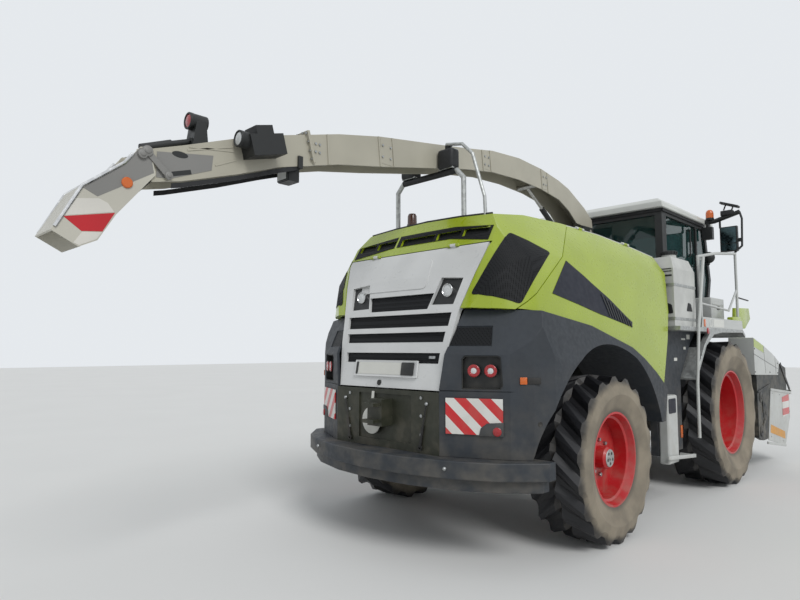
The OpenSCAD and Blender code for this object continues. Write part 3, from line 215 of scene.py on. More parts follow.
def moulded_plastic(name, colour, dust, roughness=0.55, dust_top=1.8, dust_amount=0.3):
    """Moulded polypropylene: fine leather grain, soft highlight, dust in the grain."""
    material, tree, shader, place = blank_material(name)
    share = dusty_share(tree, place, dust_top, dust_amount, 0.2)
    cloud = ramp(tree, noise(tree, place, 0.25), 0.3, 0.7)
    base = blend_colour(tree, cloud, shaded(colour, 0.9), shaded(colour, 1.08))
    feed(shader, "Base Color", blend_colour(tree, share, base, dust))
    feed(shader, "Roughness",
         ramp(tree, noise(tree, place, 0.04), 0.2, 0.8, roughness - 0.08, roughness + 0.12))
    grain = add_node(tree, "ShaderNodeTexVoronoi", Vector=place, Scale=280.0).outputs["Distance"]
    bumped(tree, shader, grain, 0.18, 0.0006)
    return material


def bare_metal(name, colour, roughness=0.35, streak=0.02, metallic=1.0):
    """Drawn or galvanised steel: metal with soft mottling and fine scratches."""
    material, tree, shader, place = blank_material(name, Metallic=metallic)
    flakes = add_node(tree, "ShaderNodeTexVoronoi", Vector=place, Scale=1.0 / streak).outputs["Color"]
    grey = add_node(tree, "ShaderNodeRGBToBW", Color=flakes).outputs["Val"]
    base = blend_colour(tree, ramp(tree, grey, 0.1, 0.9), shaded(colour, 0.82), shaded(colour, 1.1))
    feed(shader, "Base Color", base)
    feed(shader, "Roughness",
         ramp(tree, noise(tree, place, 0.03), 0.2, 0.8, roughness - 0.08, roughness + 0.15))
    bumped(tree, shader, noise(tree, place, 0.008, 4.0), 0.06, 0.001)
    return material


def cast_iron(name, colour):
    """Sand-cast iron: rough, dark, with coarse pits."""
    material, tree, shader, place = blank_material(name, Metallic=0.3)
    base = blend_colour(tree, ramp(tree, noise(tree, place, 0.08), 0.3, 0.7), shaded(colour, 0.7),
                        shaded(colour, 1.2))
    feed(shader, "Base Color", base)
    feed(shader, "Roughness", ramp(tree, noise(tree, place, 0.02), 0.2, 0.8, 0.55, 0.85))
    bumped(tree, shader, noise(tree, place, 0.006, 5.0), 0.4, 0.002)
    return material


def tyre_rubber(name, centre, inner, outer, dust):
    """Vulcanised rubber of a tyre: black worn lugs, and dry soil on the sidewall and between the lugs."""
    material, tree, shader, place = blank_material(name)
    centred = add_node(tree, "ShaderNodeMapping", Vector=place,
                       Location=(0, -centre[1], -centre[2]), Scale=(0, 1, 1)).outputs["Vector"]
    radius = add_node(tree, "ShaderNodeVectorMath", {"operation": "LENGTH"}, n0=centred).outputs["Value"]
    wall = ramp(tree, radius, outer - 0.03, outer - 0.10, 0.10, 0.75)
    rim_side = ramp(tree, radius, inner, inner + 0.05, 0.5, 1.0)
    patches = ramp(tree, noise(tree, place, 0.30, 4.0), 0.25, 0.7, 0.55, 1.0)
    normal = add_node(tree, "ShaderNodeTexCoord").outputs["Normal"]
    sideways = add_node(tree, "ShaderNodeSeparateXYZ", Vector=normal).outputs["X"]
    facing_out = add_node(tree, "ShaderNodeMath", {"operation": "ABSOLUTE"}, n0=sideways).outputs[0]
    patches = product(tree, patches, ramp(tree, facing_out, 0.55, 0.9, 0.04, 1.0))
    share = product(tree, product(tree, wall, rim_side), patches)
    base = blend_colour(tree, share, linear("#15161a"), shaded(dust, 1.35))
    feed(shader, "Base Color", base)
    feed(shader, "Roughness", ramp(tree, share, 0.0, 0.6, 0.5, 0.9))
    bumped(tree, shader, noise(tree, place, 0.004, 3.0), 0.25, 0.001)
    return material


def tinted_glass(name, colour):
    """Tempered tinted glass: dark teal, clear and glossy, with a film of dust."""
    material, tree, shader, place = blank_material(name, IOR=1.5, Transmission_Weight=0.85)
    film = ramp(tree, noise(tree, place, 0.3, 4.0), 0.4, 0.8, 0.0, 0.15)
    feed(shader, "Base Color", blend_colour(tree, film, colour, linear("#9fb0ae")))
    feed(shader, "Roughness", ramp(tree, film, 0.0, 0.15, 0.02, 0.12))
    return material


def woven_cloth(name, colour):
    """Woven seat cloth: 2 mm ribs that show up close."""
    material, tree, shader, place = blank_material(name, Sheen_Weight=0.3, Roughness=0.9)
    weave = add_node(tree, "ShaderNodeTexWave", {"wave_type": "BANDS", "bands_direction": "DIAGONAL"},
                     Vector=place, Scale=160.0, Distortion=0.6).outputs["Fac"]
    feed(shader, "Base Color", blend_colour(tree, weave, shaded(colour, 0.75), shaded(colour, 1.2)))
    bumped(tree, shader, weave, 0.35, 0.001)
    return material


def striped_film(name, dust):
    """Reflective film of a warning board: red and white bands 70 mm wide that fall outwards."""
    material, tree, shader, place = blank_material(name, Coat_Weight=0.4, Coat_Roughness=0.1)
    parts = add_node(tree, "ShaderNodeSeparateXYZ", Vector=place).outputs
    across = add_node(tree, "ShaderNodeMath", {"operation": "ABSOLUTE"}, n0=parts["X"]).outputs[0]
    slope = add_node(tree, "ShaderNodeMath", {"operation": "MULTIPLY_ADD"}, n0=across, n1=1.11,
                     n2=parts["Z"]).outputs[0]
    band = add_node(tree, "ShaderNodeMath", {"operation": "PINGPONG"}, n0=slope, n1=0.1).outputs[0]
    red = ramp(tree, band, 0.049, 0.051)
    base = blend_colour(tree, red, linear("#c2141c"), linear("#d6d5d0"))
    share = dusty_share(tree, place, 1.9, 0.35)
    feed(shader, "Base Color", blend_colour(tree, share, base, dust))
    # Honeycomb of the reflective film, drawn at 6 mm
    comb = add_node(tree, "ShaderNodeTexVoronoi", {"feature": "DISTANCE_TO_EDGE"}, Vector=place, Scale=160.0)
    feed(shader, "Roughness", ramp(tree, comb.outputs["Distance"], 0.0, 0.12, 0.45, 0.28))
    return material


def lens_plastic(name, colour):
    """Moulded lamp lens: clear coloured acrylic over fine prisms."""
    material, tree, shader, place = blank_material(name, Coat_Weight=0.6, Coat_Roughness=0.05,
                                                   Transmission_Weight=0.15, IOR=1.49)
    # Prisms drawn at 7 mm, coarser than real, so that they show
    prism = add_node(tree, "ShaderNodeTexVoronoi", {"feature": "F1", "distance": "CHEBYCHEV"}, Vector=place,
                     Scale=140.0, Randomness=0.0).outputs["Distance"]
    feed(shader, "Base Color", blend_colour(tree, prism, shaded(colour, 1.15), shaded(colour, 0.75)))
    feed(shader, "Roughness", ramp(tree, prism, 0.0, 0.6, 0.12, 0.25))
    bumped(tree, shader, prism, 0.4, 0.002)
    return material


def perforated_sheet(name):
    """Perforated and powder-coated steel sheet: black, with rows of holes painted darker as the shade inside them.
    """
    material, tree, shader, place = blank_material(name)
    # Holes drawn 14 mm apart, coarser than real, so that they show
    holes = add_node(tree, "ShaderNodeTexVoronoi", {"feature": "F1"}, Vector=place, Scale=72.0,
                     Randomness=0.0).outputs["Distance"]
    web = ramp(tree, holes, 0.30, 0.38)
    # The holes' near-black is painted shade inside them; the web between them keeps the sheet's own black
    feed(shader, "Base Color", blend_colour(tree, web, linear("#020303"), linear("#0d0f12")))
    feed(shader, "Roughness", ramp(tree, web, 0.0, 1.0, 0.95, 0.55))
    shader.inputs["Specular IOR Level"].default_value = 0.25
    bumped(tree, shader, web, 0.5, 0.003)
    return material


def slot_finishes(colours):
    """The finish of every material slot of the record, by its name."""
    dust = list(colours.dust)
    return {
        "frame_paint": sprayed_paint("chassis_enamel", list(colours.chassis), dust, 0.5, 0.0, 1.9, 0.45),
        "engine_grey": cast_iron("engine_cast_iron", linear("#5c5f60")),
        "steel": bare_metal("drawn_steel", linear("#b9b8b4"), 0.3),
        "wheel_red": sprayed_paint("wheel_enamel", list(colours.wheel), dust, 0.35, 0.2, 1.4, 0.3),
        "roof_grey": sprayed_paint("roof_enamel", list(colours.roof), dust, 0.4, 0.2, 1.0, 0.1),
        "hood_green": sprayed_paint("hood_enamel", list(colours.hood), dust, 0.28, 0.5, 1.8, 0.12),
        "door_grey": sprayed_paint("rear_door_gelcoat", list(colours.door), dust, 0.3, 0.4, 1.9, 0.12),
        "fender_plastic": moulded_plastic("fender_polypropylene", list(colours.fender), dust),
        "panel_olive": sprayed_paint("rear_panel_enamel", linear("#2a2c20"), dust, 0.5, 0.0, 1.6, 0.35),
        "galvanised": bare_metal("galvanised_steel", linear("#b4b6b4"), 0.45, 0.03, 0.8),
        "cab_black": sprayed_paint("black_powder_coat", linear("#1d1f1f"), dust, 0.45, 0.0, 2.0, 0.25),
        "cab_glass": tinted_glass("cab_tinted_glass", linear("#3f6a67")),
        "seat_fabric": woven_cloth("seat_woven_cloth", linear("#3c4042")),
        "tank_plastic": moulded_plastic("tank_polyethylene", linear("#bfc0bc"), dust, 0.45, 2.4, 0.12),
        "rail_grey": sprayed_paint("rail_enamel", linear("#b9bbb8"), dust, 0.4, 0.1, 2.2, 0.2),
        "spout_beige": sprayed_paint("spout_enamel", list(colours.spout), dust, 0.42, 0.1, 3.6, 0.15),
        "flap_red": sprayed_paint("flap_enamel", linear("#b9b6aa"), dust, 0.4, 0.1, 3.0, 0.2),
        "header_grey": sprayed_paint("header_enamel", linear("#b9bbb8"), dust, 0.4, 0.1, 1.2, 0.3),
        "board_white": striped_film("warning_board_film", dust),
    }


def wheel_centre(node):
    """Middle of a wheel's node."""
    low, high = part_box(node)
    return (low + high) / 2


def finish_solids(colours):
    """Gives every CAD solid the finish of its slot, and each tyre one centred on its wheel."""
    finishes = slot_finishes(colours)
    for node, slot in SLOTS.items():
        if slot == "tyre":
            low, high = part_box(node)
            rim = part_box(node.replace("tyre", "rim"))
            finishes[node] = tyre_rubber(
                "rubber_" + node, wheel_centre(node), (rim[1].z - rim[0].z) / 2, (high.z - low.z) / 2,
                list(colours.dust))
            slot = node
        mesh = frame["nodes"][node].data
        if not mesh.materials:
            mesh.materials.append(None)
        for index in range(len(mesh.materials)):
            mesh.materials[index] = finishes[slot]
    return finishes


# Making pieces

def at(x, y, z):
    """A point counted from the rear axle's place on the ground, in the frame."""
    return Vector((x, y + AXLE_Y, z))


def spot(x, y, z):
    """Matrix that moves to a point counted from the rear axle's place."""
    return Matrix.Translation(at(x, y, z))


def put(bm, matrix, verts=None):
    """Moves points, or everything drawn so far, by a matrix."""
    bmesh.ops.transform(bm, matrix=matrix, verts=bm.verts if verts is None else verts)


def add_box(bm, low, high):
    """Box between two corners."""
    low, high = Vector(low), Vector(high)
    matrix = Matrix.Translation((low + high) / 2) @ Matrix.Diagonal((*(high - low), 1))
    return bmesh.ops.create_cube(bm, size=1, matrix=matrix)["verts"]


def toward(start, end):
    """Matrix that puts Z on the line from start to end, centred between them."""
    line = Vector(end) - Vector(start)
    turn = Vector((0, 0, 1)).rotation_difference(line).to_matrix().to_4x4()
    return Matrix.Translation((Vector(start) + Vector(end)) / 2) @ turn, line.length


def add_rod(bm, start, end, radius, end_radius=None, sides=24):
    """Closed round bar, which tapers where an end radius is given."""
    matrix, length = toward(start, end)
    end_radius = radius if end_radius is None else end_radius
    return bmesh.ops.create_cone(bm, cap_ends=True, segments=sides, radius1=radius, radius2=end_radius,
                                 depth=length, matrix=matrix)["verts"]


def add_pipe(bm, route, radius, sides=12):
    """Closed pipe swept through the points of a route."""
    route = [Vector(p) for p in route]
    rings = []
    for i, point in enumerate(route):
        ahead = route[min(i + 1, len(route) - 1)] - route[max(i - 1, 0)]
        turn = Vector((0, 0, 1)).rotation_difference(ahead).to_matrix().to_4x4()
        place = Matrix.Translation(point) @ turn
        rings.append(bmesh.ops.create_circle(bm, segments=sides, radius=radius, matrix=place)["verts"])
    for first, second in zip(rings, rings[1:]):
        edges = [e for e in bm.edges if all(v in first for v in e.verts) or all(v in second for v in e.verts)]
        bmesh.ops.bridge_loops(bm, edges=edges)
    for ring in (rings[0], rings[-1]):
        bmesh.ops.contextual_create(bm, geom=ring)


def add_turned(bm, profile, matrix, sides=64):
    """Shape turned on a lathe about the matrix's Z: profile points are (radius, place along the axis)."""
    verts = [bm.verts.new((r, 0, z)) for r, z in profile]
    edges = [bm.edges.new(pair) for pair in zip(verts, verts[1:])]
    bmesh.ops.spin(bm, geom=verts + edges, cent=(0, 0, 0), axis=(0, 0, 1), angle=math.tau, steps=sides,
                   use_merge=True)
    shape = set(verts)
    reach = list(verts)
    while reach:
        for edge in reach.pop().link_edges:
            for vert in edge.verts:
                if vert not in shape:
                    shape.add(vert)
                    reach.append(vert)
    put(bm, matrix, list(shape))


def add_plate(bm, outline, depth):
    """Flat plate: an outline of points, thickened by the vector depth."""
    face = bm.faces.new([bm.verts.new(Vector(p)) for p in outline])
    made = bmesh.ops.extrude_face_region(bm, geom=[face])
    verts = [g for g in made["geom"] if isinstance(g, bmesh.types.BMVert)]
    bmesh.ops.translate(bm, vec=Vector(depth), verts=verts)


def rounded(bm, width, segments=2, angle=0.6):
    """Rounds the edges that are sharper than an angle."""
    sharp = [e for e in bm.edges if e.is_manifold and e.calc_face_angle(0) > angle]
    bmesh.ops.bevel(bm, geom=sharp, offset=width, segments=segments, affect="EDGES", profile=0.5, material=-1,
                    clamp_overlap=True)


def make_piece(name, bm, finish, body="chassis", slot=None, smooth=0.6, merge=0.0):
    """Turns a bmesh into a piece that rides on a body."""
    slot = slot or SLOT_OF.get(finish, finish if finish in SLOTS.values() else "cab_black")
    if merge:
        bmesh.ops.remove_doubles(bm, verts=bm.verts, dist=merge)
    bmesh.ops.recalc_face_normals(bm, faces=bm.faces)
    mesh = bpy.data.meshes.new(name)
    bm.to_mesh(mesh)
    bm.free()
    mesh.materials.append(FINISHES[finish])
    piece = bpy.data.objects.new(name, mesh)
    bpy.context.scene.collection.objects.link(piece)
    mesh.polygons.foreach_set("use_smooth", [True] * len(mesh.polygons))
    mesh.set_sharp_from_angle(angle=smooth)
    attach(piece, body)
    return piece


def rounded_outline(outline, radius, steps=4):
    """A convex outline with its corners rounded."""
    points = []
    for i, corner in enumerate(outline):
        corner = Vector(corner)
        before = (Vector(outline[i - 1]) - corner).normalized()
        after = (Vector(outline[(i + 1) % len(outline)]) - corner).normalized()
        start, end = corner + before * radius, corner + after * radius
        for k in range(steps + 1):
            t = k / steps
            points.append(start.lerp(corner, t).lerp(corner.lerp(end, t), t))
    return points


def add_skin(bm, node, outline, lift, thickness=0.004, reach=0.25, inside=(0, 0.3, 1.5)):
    """Panel on a solid: its skin inside a convex outline, lifted off and thickened away from inside."""
    outline = [Vector(p) for p in outline]
    middle = sum(outline, Vector()) / len(outline)
    out = sum(((p - middle).cross(q - middle) for p, q in zip(outline, outline[1:] + outline[:1])), Vector())
    out.normalize()
    if out.dot(middle - at(*inside)) < 0:
        out.negate()
    planes = [(middle + out * reach, out), (middle - out * reach, -out)]
    for p, q in zip(outline, outline[1:] + outline[:1]):
        side = (q - p).cross(out)
        planes.append((p, side if side.dot(p - middle) > 0 else -side))
    skin = bmesh.new()
    skin.from_mesh(frame["nodes"][node].data)
    bmesh.ops.remove_doubles(skin, verts=skin.verts, dist=SOLID_WELD)
    for point, direction in planes:
        bmesh.ops.bisect_plane(skin, geom=skin.verts[:] + skin.edges[:] + skin.faces[:], plane_co=point,
                               plane_no=direction, clear_outer=True)
    skin.normal_update()
    bmesh.ops.delete(skin, geom=[f for f in skin.faces if f.normal.dot(out) < 0.3], context="FACES")
    if not skin.faces:
        raise RuntimeError("No skin of " + node + " at " + str(tuple(middle)))
    bmesh.ops.dissolve_limit(skin, angle_limit=0.01, verts=skin.verts, edges=skin.edges)
    skin.normal_update()
    shifts = [v.normal * lift for v in skin.verts]
    for vert, shift in zip(skin.verts, shifts):
        vert.co += shift
    made = bmesh.ops.extrude_face_region(skin, geom=skin.faces[:])
    for vert in [g for g in made["geom"] if isinstance(g, bmesh.types.BMVert)]:
        vert.co += out * thickness
    bmesh.ops.recalc_face_normals(skin, faces=skin.faces)
    mesh = bpy.data.meshes.new("skin")
    skin.to_mesh(mesh)
    skin.free()
    bm.from_mesh(mesh)
    bpy.data.meshes.remove(mesh)


def add_strip(bm, start, end, width, inner, outer, side=1):
    """Flat bar on a side wall from start to end (y, z), between two distances from the machine's middle."""
    a, b = at(side * inner, *start), at(side * inner, *end)
    half = (b - a).cross(Vector((1, 0, 0))).normalized() * width / 2
    add_plate(bm, [a - half, b - half, b + half, a + half], (side * (outer - inner), 0, 0))


def add_side_plate(bm, outline, inner, outer, side=1):
    """Flat plate on a side wall with a (y, z) outline, between two distances from the machine's middle."""
    add_plate(bm, [at(side * inner, *p) for p in outline], (side * (outer - inner), 0, 0))


def rear_view(points, y=-1.3, side=1):
    """Outline on the rear face from (x, z) points."""
    return [at(side * x, y, z) for x, z in points]


def side_view(points, x, side=1):
    """Outline on a side face from (y, z) points."""
    return [at(side * x, y, z) for y, z in points]


def side_turn(x, y, z, side=1):
    """Matrix on a side wall whose Z points out of it."""
    return spot(side * x, y, z) @ Matrix.Rotation(side * math.pi / 2, 4, "Y")


def soften(node, body, width, finish, sharp=30):
    """Stands in for a solid with a copy whose curved skin shades smoothly and whose edges are rounded."""
    bm = bmesh.new()
    bm.from_mesh(frame["nodes"][node].data)
    bmesh.ops.remove_doubles(bm, verts=bm.verts, dist=SOLID_WELD)
    bmesh.ops.dissolve_limit(bm, angle_limit=0.004, verts=bm.verts, edges=bm.edges)
    bmesh.ops.recalc_face_normals(bm, faces=bm.faces)
    mesh = bpy.data.meshes.new(node + "_panel")
    bm.to_mesh(mesh)
    bm.free()
    mesh.materials.append(FINISHES[finish])
    piece = bpy.data.objects.new(node + "_panel", mesh)
    bpy.context.scene.collection.objects.link(piece)
    bevel = piece.modifiers.new("edge", "BEVEL")
    bevel.width = width
    bevel.segments = 2
    bevel.limit_method = "ANGLE"
    bevel.angle_limit = math.radians(sharp)
    bevel.harden_normals = False
    mesh.polygons.foreach_set("use_smooth", [True] * len(mesh.polygons))
    mesh.set_sharp_from_angle(angle=math.radians(sharp + 25))
    weighted = piece.modifiers.new("shading", "WEIGHTED_NORMAL")
    weighted.keep_sharp = True
    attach(piece, body)
    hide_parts(node)
    return piece


def add_hex_head(bm, matrix, across, height):
    """Hexagon head with a domed top, standing on the matrix's plane."""
    # Corner radius from the width across the flats
    radius = across / 1.732
    verts = bmesh.ops.create_cone(bm, cap_ends=True, segments=6, radius1=radius, radius2=radius, depth=height,
                                  matrix=matrix @ Matrix.Translation((0, 0, height / 2)))["verts"]
    top = [e for e in bm.edges if all(v in verts[len(verts) // 2:] for v in e.verts)]
    bmesh.ops.bevel(bm, geom=top, offset=height * 0.2, segments=1, affect="EDGES", profile=0.5, material=-1)


def on_sweep(side):
    """Matrix of a fender's swept rear face: X out along it, Y forward through it, Z up; side is 1 or -1."""
    turn = spot(0.640, -1.450, 0) @ Matrix.Rotation(SWEEP, 4, "Z")
    return Matrix.Diagonal((side, 1, 1, 1)) @ turn


def facing(direction):
    """Turn that puts Z along a direction and keeps X level."""
    z = Vector(direction).normalized()
    x = Vector((0, 0, 1)).cross(z)
    x = x.normalized() if x.length > 1e-4 else Vector((1, 0, 0))
    turn = Matrix((x, z.cross(x), z)).transposed()
    return turn.to_4x4()


def surface(node, start, direction):
    """Point and outward normal where a ray first meets a solid."""
    hit, point, normal = frame["nodes"][node].ray_cast(Vector(start), Vector(direction).normalized())[:3]
    if not hit:
        raise RuntimeError("No surface of " + node + " at " + str(tuple(start)))
    return point, normal


def on_surface(node, start, direction):
    """Matrix whose Z points out of a solid where a ray first meets it."""
    point, normal = surface(node, start, direction)
    return Matrix.Translation(point) @ facing(normal)


def turned_piece(name, profile, matrix, finish, body="chassis", sides=64, slot=None):
    """Piece turned on a lathe, as add_turned draws it."""
    bm = bmesh.new()
    add_turned(bm, profile, matrix, sides)
    make_piece(name, bm, finish, body, slot, merge=WELD)


# Stage

# Place, turn and lens of the photo's camera, as solved from the photo
CAMERA_PLACE = (3.872, -6.169, 1.691)
CAMERA_YAW = 44.72
CAMERA_PITCH = 4.69
CAMERA_LENS = 27.04


class HARVESTER_OT_stage(bpy.types.Operator):
    """Make the floor, the lamps, the world and the camera"""

    bl_idname = "harvester.stage"
    bl_label = "Stage"

    def execute(self, context):
        scene = context.scene
        bm = bmesh.new()
        bmesh.ops.create_grid(bm, x_segments=2, y_segments=2, size=60)
        mesh = bpy.data.meshes.new("floor")
        bm.to_mesh(mesh)
        bm.free()
        floor = bpy.data.objects.new("floor", mesh)
        scene.collection.objects.link(floor)
        # Matt painted studio floor: even pale grey that shows as white to the camera outside the shadow
        material, tree, shader, place = blank_material("studio_floor_paint", Roughness=0.9)
        feed(shader, "Base Color",
             blend_colour(tree, noise(tree, place, 2.0), linear("#d8d8d6"), linear("#dededc")))
        mesh.materials.append(material)

        world = bpy.data.worlds.new("studio_world")
        world.use_nodes = True
        tree = world.node_tree
        tree.nodes.clear()
        path = add_node(tree, "ShaderNodeLightPath").outputs
        seen = path["Is Camera Ray"]
        for name in ("Is Glossy Ray", "Is Transmission Ray"):
            larger = add_node(tree, "ShaderNodeMath", {"operation": "MAXIMUM"}, n0=seen, n1=path[name])
            seen = larger.outputs[0]
        strength = ramp(tree, seen, 0.0, 1.0, 0.62, 0.92)
        ground = add_node(tree, "ShaderNodeBackground", Color=linear("#eef2f6"), Strength=strength)
        out = add_node(tree, "ShaderNodeOutputWorld", Surface=ground.outputs[0])
        out.is_active_output = True
        scene.world = world

        sun = bpy.data.lights.new("soft_key_lamp", "SUN")
        sun.energy = 1.6
        sun.angle = math.radians(25)
        key = bpy.data.objects.new("soft_key_lamp", sun)
        key.rotation_euler = (math.radians(48), 0, math.radians(70))
        scene.collection.objects.link(key)

        camera = bpy.data.cameras.new("photo_camera")
        camera.lens = CAMERA_LENS
        camera.sensor_width = 36
        camera.clip_end = 200
        eye = bpy.data.objects.new("photo_camera", camera)
        eye.location = CAMERA_PLACE
        eye.rotation_euler = (math.radians(90 + CAMERA_PITCH), 0, math.radians(CAMERA_YAW))
        scene.collection.objects.link(eye)
        scene.camera = eye
        scene.view_settings.view_transform = "Standard"
        return {"FINISHED"}


class HARVESTER_OT_finishes(bpy.types.Operator):
    """Give every CAD solid its finish"""

    bl_idname = "harvester.finishes"
    bl_label = "Finishes"

    def execute(self, context):
        FINISHES.update(finish_solids(context.scene.harvester_colours))
        dust = list(context.scene.harvester_colours.dust)
        FINISHES.update(
            rubber=moulded_plastic("black_rubber", linear("#17181a"), dust, 0.6),
            zinc=bare_metal("zinc_plated_steel", linear("#a9abab"), 0.4),
            spout_grey=sprayed_paint("wear_plate_enamel", linear("#7d7c79"), dust, 0.45, 0.0, 3.6, 0.1),
            band_white=sprayed_paint("white_vinyl_film", linear("#cfccc4"), dust, 0.4, 0.1, 3.0, 0.2),
            flap_enamel_red=sprayed_paint("red_vinyl_film", linear("#b5121e"), dust, 0.4, 0.1, 2.0, 0.1),
            perforated=perforated_sheet("perforated_black_steel"),
            navy_film=sprayed_paint("navy_vinyl_film", linear("#0b1122"), dust, 0.55, 0.0, 1.9, 0.1),
            plate_white=sprayed_paint("blank_plate_film", linear("#cfcfc8"), dust, 0.35, 0.2, 1.9, 0.2),
            chrome=bare_metal("polished_chrome", linear("#d8d8d8"), 0.15, 0.05),
            mirror=bare_metal("silvered_mirror_glass", linear("#46565a"), 0.06, 0.4),
            yellow_film=sprayed_paint("yellow_vinyl_film", linear("#cf8f22"), dust, 0.4, 0.1, 0.9, 0.25),
            amber=lens_plastic("amber_acrylic", linear("#d8660c")),
            # Amber acrylic made dark brown as painted shade, for the rear beacon's dome
            smoked_amber=lens_plastic("shade_darkened_amber_acrylic", linear("#4a2410")),
            red_lens=lens_plastic("red_acrylic", linear("#a8121a")),
            clear_lens=lens_plastic("clear_acrylic", linear("#d9dcdc")))
        return {"FINISHED"}


# Panels whose edges are rounded, and by how much
SOFT_PANELS = [
    ("hood_roof", 0.004), ("hood_rear", 0.004), ("side_door_left", 0.004), ("side_door_right", 0.004),
    ("rear_door", 0.004), ("fender_left", 0.005), ("fender_right", 0.005), ("bumper", 0.008),
    ("cab_roof", 0.020), ("tanks", 0.020), ("step_covers", 0.020), ("spout", 0.002),
    ("spout_extension", 0.002),
    ("mirror_arms", 0.006), ("header_covers", 0.006), ("end_flap", 0.003), ("hitch_panel", 0.004),
    ("spout_lamps", 0.014), ("header_shields", 0.003), ("platforms", 0.004), ("cab_frame", 0.006),
]


class HARVESTER_OT_soft_panels(bpy.types.Operator):
    """Round the edges of the sheet and moulded panels"""

    bl_idname = "harvester.soft_panels"
    bl_label = "Soft panels"

    def execute(self, context):
        riders = frame["record"]["behaviour"]["bodies"]
        bodies = {node: body for body, nodes in riders.items() for node in nodes}
        for node, width in SOFT_PANELS:
            finish = "rail_grey" if node == "step_covers" else SLOTS[node]
            soften(node, bodies[node], width, finish)
        return {"FINISHED"}


# Rear door's air slots, seen from behind: left x, right x, top z, bottom z, how much wider the top is
DOOR_SLOTS = [
    (-0.372, 0.372, 2.180, 2.040, 0.040), (-0.640, 0.640, 2.000, 1.885, 0.014),
    (-0.612, 0.612, 1.837, 1.750, 0.010), (-0.585, 0.585, 1.660, 1.570, 0.008),
]


class HARVESTER_OT_rear_door_meshes(bpy.types.Operator):
    """Black perforated sheets in the rear door's slots, and the dark floors of its lamp insets"""

    bl_idname = "harvester.rear_door_meshes"
    bl_label = "Rear door meshes"

    def execute(self, context):
        bm = bmesh.new()
        for left, right, top, bottom, wider in DOOR_SLOTS:
            edge = 0.002
            add_skin(bm, "rear_door", rear_view([(left + edge, bottom + edge),
                (left - wider + edge, top - edge), (right + wider - edge, top - edge),
                (right - edge, bottom + edge)]), 0.003, 0.002)
        make_piece("rear_door_meshes", bm, "perforated", "door_rear")
        bm = bmesh.new()
        for side in (1, -1):
            add_skin(bm, "rear_door", rear_view([(0.464, 2.310), (0.699, 2.290), (0.651, 2.073),
                (0.397, 2.080)], side=side), 0.0, 0.004)
        make_piece("rear_door_lamp_floors", bm, "cab_black", "door_rear")
        return {"FINISHED"}


class HARVESTER_OT_rear_door_lamps(bpy.types.Operator):
    """Round working lamps in the rear door's insets"""

    bl_idname = "harvester.rear_door_lamps"
    bl_label = "Rear door lamps"

    def execute(self, context):
        for side, label in SIDES:
            point = surface("rear_door", at(side * 0.553, -2.0, 2.195), (0, 1, 0))[0]
            place = Matrix.Translation(point) @ facing((0, -1, 0.05))
            turned_piece("door_lamp_bowl_" + label, [(0.050, -0.004), (0.056, 0.000), (0.058, 0.030),
                (0.054, 0.034), (0.049, 0.028), (0.046, 0.010), (0.030, 0.002), (0.0, 0.0)], place,
                "chrome", "door_rear")
            turned_piece("door_lamp_lens_" + label, [(0, 0.034), (0.025, 0.033), (0.048, 0.026),
                (0.048, 0.022), (0.025, 0.029), (0, 0.030)], place, "clear_lens", "door_rear")
        return {"FINISHED"}


class HARVESTER_OT_plate_holder(bpy.types.Operator):
    """Frame with a blank plate, its dark clip and the round lock below it"""

    bl_idname = "harvester.plate_holder"
    bl_label = "Plate holder"

    def execute(self, context):
        front, normal = surface("rear_door", at(0, -2.0, 1.52), (0, 1, 0))
        place = Matrix.Translation(front + Vector((-0.027, -0.012, 0))) @ facing(normal)
        bm = bmesh.new()
        half = Vector((0.397, 0.074, 0))
        add_box(bm, (-half.x, -half.y, -0.012), (half.x, half.y, 0.010))
        top = [f for f in bm.faces if f.normal.z > 0.9]
        bmesh.ops.inset_region(bm, faces=top, thickness=0.016, depth=-0.006)
        rounded(bm, 0.005)
        put(bm, place)
        make_piece("plate_frame", bm, "door_grey", "door_rear")
        bm = bmesh.new()
        add_box(bm, (-0.345, -0.054, 0.004), (0.205, 0.054, 0.0065))
        rounded(bm, 0.002, 1)
        add_box(bm, (-0.338, -0.048, 0.0065), (0.198, 0.048, 0.0070))
        put(bm, place)
        make_piece("blank_plate", bm, "plate_white", "door_rear", slot="door_grey")
        bm = bmesh.new()
        add_box(bm, (0.212, -0.056, 0.004), (0.360, 0.056, 0.014))
        add_box(bm, (-0.375, -0.056, 0.004), (-0.352, 0.056, 0.014))
        rounded(bm, 0.006)
        put(bm, place)
        make_piece("plate_clips", bm, "cab_black", "door_rear")
        turn = on_surface("rear_door", at(-0.088, -2.0, 1.395), (0, 1, 0))
        bm = bmesh.new()
        add_turned(bm, [(0, 0.000), (0.024, 0.000), (0.024, 0.008), (0.020, 0.011), (0.010, 0.010),
            (0, 0.006)], turn, 32)
        slot = add_box(bm, (-0.003, -0.009, 0.0105), (0.003, 0.009, 0.0125))
        put(bm, turn, slot)
        make_piece("door_lock", bm, "cab_black", "door_rear", merge=WELD)
        return {"FINISHED"}


class HARVESTER_OT_door_field(bpy.types.Operator):
    """Raised field of the rear door, left bare"""

    bl_idname = "harvester.door_field"
    bl_label = "Door field"

    def execute(self, context):
        bm = bmesh.new()
        add_skin(bm, "rear_door", rounded_outline(rear_view([(-0.60, 2.232), (-0.60, 2.485), (0.300, 2.505),
            (0.300, 2.232)]), 0.05), 0.0, 0.007)
        make_piece("door_field", bm, "door_grey", "door_rear")
        return {"FINISHED"}


